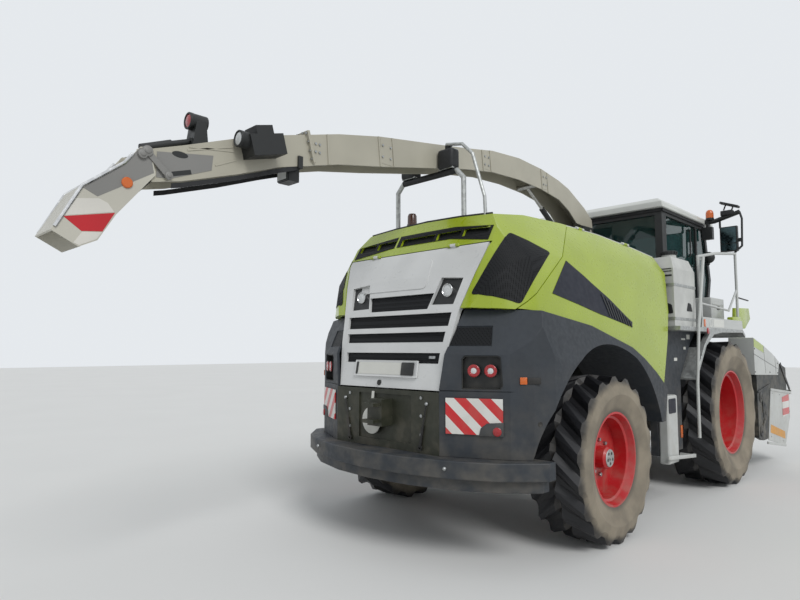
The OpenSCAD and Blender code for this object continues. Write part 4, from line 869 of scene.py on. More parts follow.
class HARVESTER_OT_vent_band(bpy.types.Operator):
    """Black perforated grille across the hood's rear frame, with one divider left green"""

    bl_idname = "harvester.vent_band"
    bl_label = "Vent band"

    def execute(self, context):
        bm = bmesh.new()
        for part in ([(-0.86, 2.620), (-0.86, 2.752), (-0.30, 2.802), (-0.30, 2.686)],
                     [(-0.268, 2.686), (-0.268, 2.804), (0.42, 2.804), (0.42, 2.684)],
                     [(0.42, 2.684), (0.42, 2.804), (0.86, 2.758), (0.86, 2.620)]):
            add_skin(bm, "hood_rear", rear_view(part, -1.05), 0.001, 0.004, 0.15)
        make_piece("vent_band", bm, "perforated")
        return {"FINISHED"}


class HARVESTER_OT_hood_screens(bpy.types.Operator):
    """Dark cooling-air screens at the hood's rear sides"""

    bl_idname = "harvester.hood_screens"
    bl_label = "Hood screens"

    def execute(self, context):
        lift = context.scene.harvester_sizes.screen_lift
        for side, label in SIDES:
            corners = [(0.812, -1.250, 2.131), (0.962, -0.890, 2.690), (1.160, -0.560, 2.530),
                       (1.215, -1.085, 2.092)]
            bm = bmesh.new()
            add_skin(bm, "hood_rear", rounded_outline([at(side * x, y, z) for x, y, z in corners], 0.04),
                lift, 0.004)
            make_piece("hood_screen_" + label, bm, "perforated")
        return {"FINISHED"}


class HARVESTER_OT_side_wedges(bpy.types.Operator):
    """Dark wedge on each side door, left bare, with slanted louvres at its front end"""

    bl_idname = "harvester.side_wedges"
    bl_label = "Side wedges"

    def execute(self, context):
        lift = context.scene.harvester_sizes.screen_lift
        for side, label in SIDES:
            node, body = "side_door_" + label, "door_" + label
            corners = [(-0.700, 2.135), (-0.375, 2.475), (0.206, 2.202), (0.700, 1.958), (0.674, 1.892),
                       (0.102, 2.006)]
            outline = side_view(corners, 1.25, side)
            bm = bmesh.new()
            add_skin(bm, node, outline, lift, 0.002)
            make_piece("side_wedge_" + label, bm, "navy_film", body)
            bm = bmesh.new()
            for i in range(9):
                y = 0.18 + i * 0.058
                high = 2.205 - 0.494 * (y - 0.206) - 0.012
                low = 2.006 - 0.199 * (y - 0.102) + 0.010
                lean = 0.05 * (high - low) / 0.2
                strip = [(y - lean, high), (y - lean + 0.022, high), (y + lean + 0.022, low), (y + lean, low)]
                add_skin(bm, node, [at(side * 1.25, p, q) for p, q in strip], lift + 0.002, 0.006)
            make_piece("side_louvres_" + label, bm, "cab_black", body)
        return {"FINISHED"}


class HARVESTER_OT_rear_corner(bpy.types.Operator):
    """Lenses of the corner lamps, reflectors and the sunk panel's mesh on both fenders"""

    bl_idname = "harvester.rear_corner"
    bl_label = "Rear corners"

    def execute(self, context):
        for side, label in SIDES:
            turn = on_sweep(side)
            for u, name in ((0.290, "inner"), (0.425, "outer")):
                place = turn @ Matrix.Translation((u, -0.002, 1.520)) @ BACKWARD
                turned_piece("corner_lamp_red_%s_%s" % (name, label), [(0.024, 0.0), (0.024, 0.004),
                    (0.030, 0.009), (0.044, 0.009), (0.050, 0.004), (0.050, 0.0)], place, "red_lens")
                turned_piece("corner_lamp_clear_%s_%s" % (name, label), [(0, 0.001), (0, 0.010),
                    (0.012, 0.009), (0.0235, 0.004), (0.0235, 0.001)], place, "clear_lens")
            bm = bmesh.new()
            lean = math.tan(math.radians(22.5))
            corners = [(0.066, 1.726), (0.066, 1.874), (0.424, 1.874), (0.424, 1.726)]
            add_skin(bm, "fender_" + label, [turn @ Vector((u, (z - 1.650) * lean, z)) for u, z in corners],
                0.0, 0.003, 0.06)
            make_piece("fender_recess_" + label, bm, "perforated")
            # Round reflector in its dark holder, which covers the board's lower outer corner
            bm = bmesh.new()
            add_plate(bm, [Vector(p) for p in [(0.330, -0.024, 1.014), (0.345, -0.024, 1.075),
                (0.395, -0.024, 1.112), (0.525, -0.024, 1.122), (0.525, -0.024, 1.014)]], (0, 0.020, 0))
            rounded(bm, 0.004)
            put(bm, turn)
            make_piece("reflector_holder_" + label, bm, "fender_plastic")
            bm = bmesh.new()
            place = turn @ Matrix.Translation((0.475, -0.024, 1.050)) @ BACKWARD
            add_turned(bm, [(0, 0.0), (0.034, 0.0), (0.034, 0.006), (0.028, 0.010), (0, 0.011)], place)
            make_piece("round_reflector_" + label, bm, "red_lens", merge=WELD)
        return {"FINISHED"}


class HARVESTER_OT_roof_edge(bpy.types.Operator):
    """Rubber seal along the roof's rear edge, and a rear beacon on it whose dome is amber darkened as painted
    shade
    """

    bl_idname = "harvester.roof_edge"
    bl_label = "Roof edge"

    def execute(self, context):
        route = []
        for i in range(33):
            x = -0.775 + 1.55 * i / 32
            point = surface("hood_roof", at(x, -0.872, 4), (0, 0, -1))[0]
            route.append(point + Vector((0, 0, 0.006)))
        bm = bmesh.new()
        add_pipe(bm, route, 0.011, 10)
        make_piece("roof_seal", bm, "rubber")
        foot = Matrix.Translation(surface("hood_roof", at(-0.270, -0.80, 4), (0, 0, -1))[0])
        turned_piece("rear_beacon_base", [(0, -0.01), (0.062, -0.01), (0.062, 0.010), (0.054, 0.018),
            (0, 0.018)], foot, "cab_black")
        # The dome is amber painted dark as painted shade
        turned_piece("rear_beacon_dome", [(0, 0.018), (0.052, 0.018), (0.052, 0.030), (0.048, 0.034),
            (0.046, 0.112), (0.036, 0.136), (0, 0.142)], foot, "smoked_amber")
        return {"FINISHED"}


# Distances of the spout's walls and of the sheets on them from its middle, and the lean of its end flange
SPOUT_WALL = 0.140
SPOUT_SHEET = 0.1425
FLAP_SHEET = 0.1552
FLANGE_LEAN = 0.269


def spout_edges(y):
    """Heights of the spout's side wall at a place along the machine: bottom and top."""
    top = surface("spout", at(0.134, y, 5), (0, 0, -1))[0]
    bottom = surface("spout", at(0.134, y, 1.5), (0, 0, 1))[0]
    return bottom.z, top.z


def flange_turn(x, v):
    """Matrix on the end flange's face, v up along it from its middle, whose Z points out of the face."""
    y = -2.390 - 0.0175 * math.cos(FLANGE_LEAN) - v * math.sin(FLANGE_LEAN)
    z = 3.255 + v * math.cos(FLANGE_LEAN)
    return spot(x, y, z) @ Matrix.Rotation(math.pi / 2 + FLANGE_LEAN, 4, "X")


class HARVESTER_OT_spout_joints(bpy.types.Operator):
    """Joint strips, doubler plates and bolts along the spout's side walls"""

    bl_idname = "harvester.spout_joints"
    bl_label = "Spout joints"

    def execute(self, context):
        strips = bmesh.new()
        bolts = bmesh.new()
        # Pairs of joint strips: front strip's y, rear strip's y
        for first, second in ((-1.479, -1.646), (-0.020, -0.156), (1.130, 1.000)):
            for side in (1, -1):
                for y in (first, second):
                    low, high = spout_edges(y)
                    add_strip(strips, (y + 0.014, low + 0.004), (y - 0.014, high - 0.004), 0.014, SPOUT_WALL,
                        0.149, side)
                low, high = spout_edges((first + second) / 2)
                add_side_plate(strips, [(first - 0.01, low + 0.02), (second + 0.01, low + 0.02),
                    (second + 0.01, high - 0.025), (first - 0.01, high - 0.025)],
                    SPOUT_WALL, SPOUT_SHEET, side)
                for y in (first - 0.035, second + 0.035):
                    for share in (0.30, 0.68):
                        z = low + (high - low) * share
                        add_hex_head(bolts, side_turn(SPOUT_SHEET, y, z, side), 0.019, 0.009)
        for side in (1, -1):
            low, high = spout_edges(-2.214)
            add_strip(strips, (-2.205, low + 0.004), (-2.223, high - 0.004), 0.014, SPOUT_WALL, 0.149, side)
            for y in (-2.300, -2.340):
                for z in (3.245, 3.310):
                    add_hex_head(bolts, side_turn(SPOUT_WALL, y, z, side), 0.019, 0.009)
            for v in (-0.085, -0.02, 0.05, 0.115):
                add_hex_head(bolts, flange_turn(side * 0.154, v), 0.017, 0.008)
        for x in (-0.11, -0.04, 0.04, 0.11):
            add_hex_head(bolts, flange_turn(x, 0.126), 0.017, 0.008)
        rounded(strips, 0.001, 1)
        make_piece("spout_joint_strips", strips, "spout_beige", "spout_body")
        make_piece("spout_bolts", bolts, "zinc", "spout_body")
        return {"FINISHED"}


class HARVESTER_OT_spout_end(bpy.types.Operator):
    """Grey wear plates, pressed ribs, linkage and rubber lip at the spout's end, and black plates painted as the
    shade inside its openings
    """

    bl_idname = "harvester.spout_end"
    bl_label = "Spout end"

    def execute(self, context):
        ribs, plates, dark, lip, links = (bmesh.new() for i in range(5))
        for side in (1, -1):
            for start, end in (((-3.38, 3.030), (-3.05, 3.075)), ((-3.39, 3.005), (-3.03, 3.115)),
                               ((-3.19, 2.945), (-3.03, 3.018))):
                add_strip(ribs, start, end, 0.012, SPOUT_WALL, 0.144, side)
            add_side_plate(plates, [(-3.592, 2.948), (-3.205, 3.010), (-3.215, 2.905), (-3.500, 2.790),
                (-3.592, 2.780)], SPOUT_WALL, SPOUT_SHEET, side)
            # Black strip and oval where the side wall has openings: painted shade inside them
            add_strip(dark, (-3.490, 2.822), (-3.362, 2.862), 0.030, SPOUT_SHEET, 0.144, side)
            add_turned(dark, [(0, 0), (0.034, 0), (0.034, 0.002), (0, 0.002)],
                side_turn(SPOUT_SHEET, -3.440, 2.962, side) @ Matrix.Diagonal((0.6, 1.6, 1, 1)), 32)
            route = [(-2.480, 3.104), (-2.680, 3.036), (-3.020, 2.911), (-3.420, 2.781), (-3.490, 2.763)]
            for p, q in zip(route, route[1:]):
                add_side_plate(lip, [p, q, (q[0], q[1] - 0.034), (p[0], p[1] - 0.034)], 0.130, 0.138, side)
            add_strip(links, (-3.660, 2.930), (-3.520, 2.800), 0.040, 0.1555, 0.1635, side)
            for y, z, r in ((-3.660, 2.930, 0.034), (-3.690, 2.905, 0.030), (-3.520, 2.800, 0.026)):
                add_turned(links, [(0, 0), (r, 0), (r, 0.016), (r * 0.6, 0.018), (r * 0.5, 0.024),
                    (0, 0.024)], side_turn(0.1555, y, z, side), 24)
        rounded(ribs, 0.001, 1)
        rounded(links, 0.0015, 1)
        make_piece("spout_ribs", ribs, "spout_beige", "spout_body")
        make_piece("spout_wear_plates", plates, "spout_grey", "spout_body")
        make_piece("spout_openings_painted_shade", dark, "cab_black", "spout_body", merge=WELD)
        make_piece("spout_rubber_lip", lip, "rubber", "spout_body")
        make_piece("flap_links", links, "spout_grey", "flap_body", merge=WELD)
        return {"FINISHED"}


class HARVESTER_OT_flap_dress(bpy.types.Operator):
    """Grey head, red and white bands, edge rods and reflector of the spout's flap"""

    bl_idname = "harvester.flap_dress"
    bl_label = "Flap dress"

    def execute(self, context):
        bands = (
            ("grey_head", "spout_grey", [(-4.020, 2.628), (-3.795, 2.822), (-3.705, 2.940), (-3.645, 2.950),
                                         (-3.612, 2.800), (-3.940, 2.590)]),
            ("white_band", "band_white", [(-4.118, 2.448), (-4.052, 2.560), (-3.930, 2.580), (-3.880, 2.560),
                                          (-3.842, 2.512)]),
            ("red_band", "flap_enamel_red", [(-4.118, 2.444), (-3.838, 2.508), (-3.905, 2.385),
                                             (-4.020, 2.372)]),
            ("white_tip", "band_white", [(-4.016, 2.368), (-3.908, 2.380), (-3.935, 2.336), (-4.028, 2.288),
                                         (-4.060, 2.300)]),
        )
        for name, finish, outline in bands:
            bm = bmesh.new()
            for side in (1, -1):
                add_side_plate(bm, outline, 0.1540, FLAP_SHEET, side)
            make_piece("flap_" + name, bm, finish, "flap_body", slot="flap_red")
        rods, lens = bmesh.new(), bmesh.new()
        for side in (1, -1):
            add_pipe(rods, side_view([(-3.745, 2.895), (-3.795, 2.826), (-4.026, 2.640), (-4.160, 2.380)],
                0.1545, side), 0.011, 10)
            add_turned(lens, [(0, 0), (0.034, 0), (0.034, 0.006), (0.028, 0.011), (0, 0.012)],
                side_turn(FLAP_SHEET, -3.775, 2.705, side), 32)
        make_piece("flap_edge_rods", rods, "chrome", "flap_body")
        make_piece("flap_reflectors", lens, "amber", "flap_body", merge=WELD)
        lip = bmesh.new()
        add_plate(lip, [at(-0.124, -3.610, 2.770), at(0.124, -3.610, 2.770), at(0.124, -3.745, 2.628),
            at(-0.124, -3.745, 2.628)], (0, 0.008, -0.008))
        make_piece("flap_rubber", lip, "rubber", "flap_body")
        return {"FINISHED"}


class HARVESTER_OT_spout_lenses(bpy.types.Operator):
    """Lenses and rims of the lamps on the spout"""

    bl_idname = "harvester.spout_lenses"
    bl_label = "Spout lenses"

    def execute(self, context):
        rims, clear, red = bmesh.new(), bmesh.new(), bmesh.new()
        for x, y, z, twin in ((0.215, -3.055, 3.150, clear), (0.0, -3.320, 3.262, red)):
            place = spot(x, y, z) @ BACKWARD
            add_turned(rims, [(0.046, 0.0), (0.046, 0.008), (0.052, 0.012), (0.060, 0.008), (0.060, -0.02),
                (0.056, -0.02), (0.056, 0.0)], place, 40)
            add_turned(twin, [(0, 0.001), (0.0455, 0.001), (0.0455, 0.004), (0.03, 0.010), (0, 0.013)],
                place, 40)
        low, high = at(-0.066, -2.553, 2.994), at(0.066, -2.540, 3.091)
        add_box(rims, low, high)
        add_box(clear, low + Vector((0.010, -0.003, 0.010)), high - Vector((0.010, 0.012, 0.010)))
        rounded(rims, 0.002)
        make_piece("spout_lamp_rims", rims, "cab_black", "spout_body", merge=WELD)
        make_piece("spout_lamp_lenses", clear, "clear_lens", "spout_body", merge=WELD)
        make_piece("spout_marker_lens", red, "red_lens", "spout_body", merge=WELD)
        return {"FINISHED"}


class HARVESTER_OT_cradle_pads(bpy.types.Operator):
    """Rubber pads that hold the spout in its cradle, with their knobs"""

    bl_idname = "harvester.cradle_pads"
    bl_label = "Cradle pads"

    def execute(self, context):
        for side, label in SIDES:
            bm = bmesh.new()
            add_box(bm, (-0.093, -0.062, -0.098), (0.093, 0.062, 0.098))
            rounded(bm, 0.03, 4)
            put(bm, spot(side * 0.246, -0.840, 3.497))
            foot = spot(side * 0.250, -0.840, 3.592)
            add_turned(bm, [(0, 0), (0.030, 0), (0.034, 0.012), (0.034, 0.045), (0.022, 0.058), (0, 0.060)],
                foot, 32)
            make_piece("cradle_pad_" + label, bm, "rubber", merge=WELD)
        bm = bmesh.new()
        add_pipe(bm, [at(x, -0.840, 3.375) for x in (-0.34, -0.1, 0.1, 0.34)], 0.031, 16)
        make_piece("cradle_wrap", bm, "rubber")
        return {"FINISHED"}


class HARVESTER_OT_wheel_details(bpy.types.Operator):
    """Wheel nuts, rear hub caps with black discs painted as the shade in their holes, and front hub faces"""

    bl_idname = "harvester.wheel_details"
    bl_label = "Wheel details"

    def execute(self, context):
        across = context.scene.harvester_sizes.bolt
        # Axle, centre x, y and z, nut circle's radius, nut face from the tyre's middle, nuts
        wheels = (("front", 1.175, 3.300, 0.900, 0.150, 0.020, 12),
                  ("rear", 1.220, 0.0, 0.730, 0.152, 0.052, 8))
        for (axle, x, y, z, circle, face, nuts), (side, label) in itertools.product(wheels, SIDES):
            body = "wheel_%s_%s" % (axle, label)
            bm = bmesh.new()
            for i in range(nuts):
                spin = Matrix.Rotation(math.tau * i / nuts, 4, "Z") @ Matrix.Translation((circle, 0, 0))
                add_hex_head(bm, side_turn(x + face, y, z, side) @ spin, across, 0.024)
            make_piece(body + "_nuts", bm, "zinc", body)
            if axle == "rear":
                place = side_turn(x + 0.158, y, z, side)
                turned_piece(body + "_cap", [(0, 0), (0.076, 0), (0.078, 0.003), (0.074, 0.006),
                    (0.020, 0.006), (0.018, 0.016), (0, 0.018)], place, "galvanised", body, 48)
                # Black discs in the cap's five holes: painted shade inside them
                holes = bmesh.new()
                for i in range(5):
                    spin = Matrix.Rotation(math.tau * i / 5, 4, "Z") @ Matrix.Translation((0.047, 0, 0.0062))
                    add_turned(holes, [(0, 0), (0.013, 0), (0.013, 0.0012), (0, 0.0012)], place @ spin, 20)
                make_piece(body + "_cap_hole_shade", holes, "cab_black", body, merge=WELD)
            else:
                turned_piece(body + "_hub_face", [(0, 0), (0.112, 0), (0.112, 0.010), (0.104, 0.016),
                    (0.060, 0.018), (0.056, 0.030), (0, 0.032)], side_turn(x + 0.040, y, z, side),
                    "frame_paint", sides=48)
        return {"FINISHED"}


class HARVESTER_OT_cab_inside(bpy.types.Operator):
    """Seat's base, console, levers, steering column and wheel, which stand in for the plain CAD seat"""

    bl_idname = "harvester.cab_inside"
    bl_label = "Cab inside"

    def execute(self, context):
        bm = bmesh.new()
        add_box(bm, at(-0.19, 2.86, 1.990), at(0.19, 3.24, 2.030))
        rounded(bm, 0.010)
        for i in range(5):
            z = 2.045 + i * 0.032
            add_turned(bm, [(0, z - 0.014), (0.135, z - 0.014), (0.155, z), (0.135, z + 0.014),
                (0, z + 0.014)], spot(0, 3.05, 0), 32)
        add_box(bm, at(-0.23, 2.83, 2.200), at(0.23, 3.28, 2.230))
        make_piece("seat_base", bm, "cab_black")
        bm = bmesh.new()
        add_box(bm, at(0.285, 2.91, 1.990), at(0.435, 3.46, 2.425))
        rounded(bm, 0.025, 3)
        add_box(bm, at(-0.330, 2.80, 2.230), at(-0.275, 3.12, 2.430))
        rounded(bm, 0.008)
        make_piece("seat_console", bm, "fender_plastic", slot="cab_black")
        bm = bmesh.new()
        add_rod(bm, at(0.360, 3.38, 2.42), at(0.360, 3.40, 2.53), 0.013, 0.011)
        add_turned(bm, [(0, -0.045), (0.020, -0.035), (0.028, 0.0), (0.026, 0.045), (0.012, 0.065),
            (0, 0.068)], spot(0.360, 3.405, 2.58) @ Matrix.Rotation(-0.2, 4, "X"), 24)
        for y in (3.12, 3.20):
            add_rod(bm, at(0.390, y, 2.42), at(0.390, y + 0.01, 2.49), 0.006)
        make_piece("drive_lever", bm, "rubber", merge=WELD)
        column = spot(0, 3.910, 2.000) @ Matrix.Rotation(math.radians(14), 4, "X")
        turned_piece("steering_column", [(0, 0), (0.060, 0), (0.062, 0.02), (0.045, 0.10), (0.038, 0.40),
            (0.055, 0.50), (0.050, 0.60), (0.030, 0.625), (0, 0.628)], column, "cab_black", sides=32)
        bm = bmesh.new()
        wheel = column @ Matrix.Translation((0, 0, 0.635))
        angles = [math.tau * i / 12 for i in range(13)]
        ring = [(0.174 + 0.014 * math.cos(a), 0.014 * math.sin(a)) for a in angles]
        add_turned(bm, ring, wheel, 48)
        for angle in (90, 210, 330):
            turn = wheel @ Matrix.Rotation(math.radians(angle), 4, "Z")
            verts = add_box(bm, (0.035, -0.014, -0.007), (0.166, 0.014, 0.003))
            put(bm, turn, verts)
        add_turned(bm, [(0, -0.015), (0.050, -0.012), (0.052, 0.002), (0.035, 0.012), (0, 0.014)], wheel,
            32)
        rim = make_piece("steering_wheel", bm, "rubber", merge=WELD)
        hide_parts("cab_seat")
        return {"FINISHED"}


# Seat's cushions: inset and rounding of the start shape and voxels, in metres
CUSHION_INSET = 0.012
CUSHION_ROUNDING = 0.028
CUSHION_VOXEL = 0.008
# Pressure in the cloth simulation, and its frames
CUSHION_PRESSURE = 4.0
CUSHION_FRAMES = 20


def make_cushion(name, low, high, channels, cap):
    """Padded cushion between two corners: blown up with cloth simulation, then pressed in along its seams."""
    low, high = Vector(low), Vector(high)
    start = bmesh.new()
    inset = Vector((CUSHION_INSET,) * 3)
    add_box(start, low + inset, high - inset)
    rounded(start, CUSHION_ROUNDING, 4)
    piece = make_piece(name, start, "seat_fabric", smooth=3.0)
    bpy.context.view_layer.objects.active = piece
    remesh = piece.modifiers.new("voxels", "REMESH")
    remesh.mode = "VOXEL"
    remesh.voxel_size = CUSHION_VOXEL
    piece.select_set(True)
    bpy.ops.object.modifier_apply(modifier="voxels")
    rest = [v.co.copy() for v in piece.data.vertices]
    cloth = piece.modifiers.new("filling", "CLOTH")
    cloth.settings.quality = 5
    cloth.settings.use_pressure = True
    cloth.settings.uniform_pressure_force = CUSHION_PRESSURE
    cloth.settings.effector_weights.gravity = 0.0
    for step in range(1, CUSHION_FRAMES + 1):
        bpy.context.scene.frame_set(step)
    bpy.context.view_layer.objects.active = piece
    bpy.ops.object.modifier_apply(modifier="filling")
    bpy.context.scene.frame_set(1)
    for vert, before in zip(piece.data.vertices, rest):
        shift = vert.co - before
        if shift.length > cap:
            vert.co = before + shift * (cap / shift.length)
        for axis, place, width, depth in channels:
            near = math.exp(-((vert.co[axis] - place) / width) ** 2)
            inward = (low + high) / 2 - vert.co
            inward[axis] = 0
            vert.co += inward.normalized() * depth * near
    smooth = piece.modifiers.new("surface", "SUBSURF")
    smooth.levels = smooth.render_levels = 1
    piece.data.polygons.foreach_set("use_smooth", [True] * len(piece.data.polygons))
    piece.select_set(False)
    return piece


class HARVESTER_OT_seat_cushions(bpy.types.Operator):
    """Cloth cushions of the driver's seat"""

    bl_idname = "harvester.seat_cushions"
    bl_label = "Seat cushions"

    def execute(self, context):
        y = AXLE_Y
        make_cushion("seat_cushion", (-0.245, 2.825 + y, 2.232), (0.245, 3.310 + y, 2.372),
            [(0, -0.130, 0.010, 0.008), (0, 0.130, 0.010, 0.008), (1, 3.150 + y, 0.010, 0.007)], 0.022)
        make_cushion("seat_backrest", (-0.228, 2.700 + y, 2.400), (0.228, 2.815 + y, 2.860),
            [(0, -0.120, 0.010, 0.008), (0, 0.120, 0.010, 0.008), (2, 2.560, 0.010, 0.007)], 0.022)
        make_cushion("seat_headrest", (-0.130, 2.705 + y, 2.890), (0.130, 2.800 + y, 3.030), [], 0.015)
        make_cushion("seat_armrest", (0.295, 2.930 + y, 2.430), (0.425, 3.290 + y, 2.470), [], 0.006)
        bm = bmesh.new()
        for x in (-0.06, 0.06):
            add_rod(bm, at(x, 2.752, 2.80), at(x, 2.752, 2.93), 0.007)
        add_box(bm, at(-0.20, 2.690, 2.30), at(0.20, 2.705, 2.84))
        rounded(bm, 0.003, 1)
        make_piece("seat_back_shell", bm, "fender_plastic", slot="cab_black")
        return {"FINISHED"}


class HARVESTER_OT_mirrors(bpy.types.Operator):
    """Mirror glasses, joint housings, and the round lamps and rods beside the windscreen"""

    bl_idname = "harvester.mirrors"
    bl_label = "Mirrors"

    def execute(self, context):
        for side, label in SIDES:
            bm = bmesh.new()
            for low, high in ((3.165, 3.388), (3.062, 3.155)):
                corners = [(1.205, low), (1.205, high), (1.395, high), (1.395, low)]
                outline = rounded_outline(rear_view(corners, 3.950, side), 0.02)
                add_plate(bm, outline, (0, -0.004, 0))
            make_piece("mirror_glass_" + label, bm, "mirror")
            bm = bmesh.new()
            add_box(bm, at(side * 1.20, 3.965, 3.560), at(side * 1.36, 4.055, 3.640))
            rounded(bm, 0.015, 3)
            add_rod(bm, at(side * 1.18, 4.010, 3.560), at(side * 1.18, 4.010, 3.400), 0.014, sides=16)
            make_piece("mirror_joint_" + label, bm, "rubber")
            bm = bmesh.new()
            turn = spot(side * 1.045, 3.900, 2.985) @ facing((0, -1, 0.05))
            add_turned(bm, [(0, 0.060), (0.030, 0.058), (0.062, 0.040), (0.080, 0.008), (0.083, -0.010),
                (0.080, -0.022), (0.076, -0.022), (0.076, -0.014), (0, -0.014)], turn, 40)
            add_rod(bm, at(side * 1.045, 3.895, 2.910), at(side * 1.050, 3.895, 2.880), 0.020, 0.012, 16)
            add_pipe(bm, [at(side * 1.050, 3.895, 2.885), at(side * 1.00, 3.895, 2.872),
                at(side * 0.945, 3.89, 2.870)], 0.010, 10)
            make_piece("round_lamp_" + label, bm, "cab_black", merge=WELD)
            turned_piece("round_lamp_lens_" + label, [(0, -0.016), (0.040, -0.018), (0.074, -0.015),
                (0.074, -0.013), (0, -0.013)], turn, "clear_lens", sides=40)
        bm = bmesh.new()
        add_pipe(bm, [at(0.952, 3.600, 3.370), at(0.985, 3.600, 3.360), at(0.985, 3.575, 2.830),
            at(0.952, 3.575, 2.820)], 0.012, 10)
        add_pipe(bm, [at(0.952, 3.400, 3.320), at(0.980, 3.400, 3.310), at(0.980, 3.380, 2.960),
            at(0.952, 3.380, 2.950)], 0.010, 10)
        make_piece("cab_side_rods", bm, "cab_black")
        return {"FINISHED"}


class HARVESTER_OT_cab_trim(bpy.types.Operator):
    """Band under the cab's roof, wiper, roof lamps and door handle"""

    bl_idname = "harvester.cab_trim"
    bl_label = "Cab trim"

    def execute(self, context):
        bm = bmesh.new()
        for side in (1, -1):
            add_box(bm, at(side * 0.952, 2.50, 3.440), at(side * 0.968, 4.02, 3.482))
        add_box(bm, at(-0.950, 2.484, 3.440), at(0.950, 2.500, 3.482))
        rounded(bm, 0.004)
        make_piece("roof_gutter", bm, "rubber")
        for i, x in enumerate((-0.72, -0.44, 0.44, 0.72)):
            point = surface("cab_roof", at(x, 5.5, 3.530), (0, -1, 0))[0]
            turn = Matrix.Translation(point - Vector((0, 0.010, 0))) @ facing((0, 1, -0.15))
            turned_piece("roof_lamp_bowl_%d" % i, [(0.055, 0.0), (0.058, 0.0), (0.058, 0.022),
                (0.050, 0.026), (0.048, 0.018), (0, 0.004)], turn, "cab_black", sides=32)
            turned_piece("roof_lamp_lens_%d" % i, [(0, 0.020), (0.030, 0.019), (0.047, 0.017),
                (0.047, 0.013), (0, 0.016)], turn, "clear_lens", sides=32)
        bm = bmesh.new()
        # Arm and blade: places on the glass, how far off it, radius, sides
        for places, off, radius, sides in (
                (((0.0, 2.16), (0.05, 2.42), (0.12, 2.70)), 0.028, 0.009, 8),
                (((0.10, 2.28), (0.12, 2.70), (0.14, 3.12)), 0.012, 0.008, 6)):
            hits = [surface("cab_glass", at(x, 5.5, z), (0, -1, 0)) for x, z in places]
            add_pipe(bm, [point + normal * off for point, normal in hits], radius, sides)
        make_piece("windscreen_wiper", bm, "rubber")
        bm = bmesh.new()
        place = on_surface("cab_door", at(-3.0, 3.652, 2.60), (1, 0, 0))
        grip = add_box(bm, (-0.018, -0.075, 0.0), (0.018, 0.075, 0.014))
        put(bm, place, grip)
        rounded(bm, 0.006)
        make_piece("cab_door_handle", bm, "rubber", "door_cab")
        return {"FINISHED"}


class HARVESTER_OT_tank_recess_shade(bpy.types.Operator):
    """Louvre, slot and foot recesses moulded in the tanks, drawn as black sheets of painted shade"""

    bl_idname = "harvester.tank_marks"
    bl_label = "Tank marks"

    def execute(self, context):
        for side, label in SIDES:
            # The recesses are not cut: black sheets on the tank stand for the shade in them, as painted shade
            bm = bmesh.new()
            for z, high in ((2.600, 0.010), (2.572, 0.010), (2.528, 0.018)):
                add_skin(bm, "tanks", [at(side * x, 1.720, h) for x, h in ((1.150, z - high), (1.150, z),
                    (1.335, z), (1.335, z - high))], 0.0, 0.003, inside=(side * 1.2, 2.0, 2.3))
            add_skin(bm, "tanks", rounded_outline(rear_view([(1.250, 2.090), (1.265, 2.215), (1.325, 2.190),
                (1.340, 2.090)], 1.720, side), 0.02), 0.0, 0.003, inside=(side * 1.2, 2.0, 2.3))
            add_skin(bm, "tanks", rounded_outline(side_view([(2.080, 2.130), (2.130, 2.230), (2.220, 2.215),
                (2.260, 2.130)], 1.355, side), 0.02), 0.0, 0.003)
            make_piece("tank_marks_" + label, bm, "rubber")
            bm = bmesh.new()
            for z in (2.02, 2.40):
                for y in (1.716, 2.384):
                    add_box(bm, at(side * 0.99, y - 0.003, z), at(side * 1.355, y + 0.003, z + 0.030))
                add_box(bm, at(side * 1.353, 1.716, z), at(side * 1.359, 2.384, z + 0.030))
            make_piece("tank_straps_" + label, bm, "galvanised")
        return {"FINISHED"}


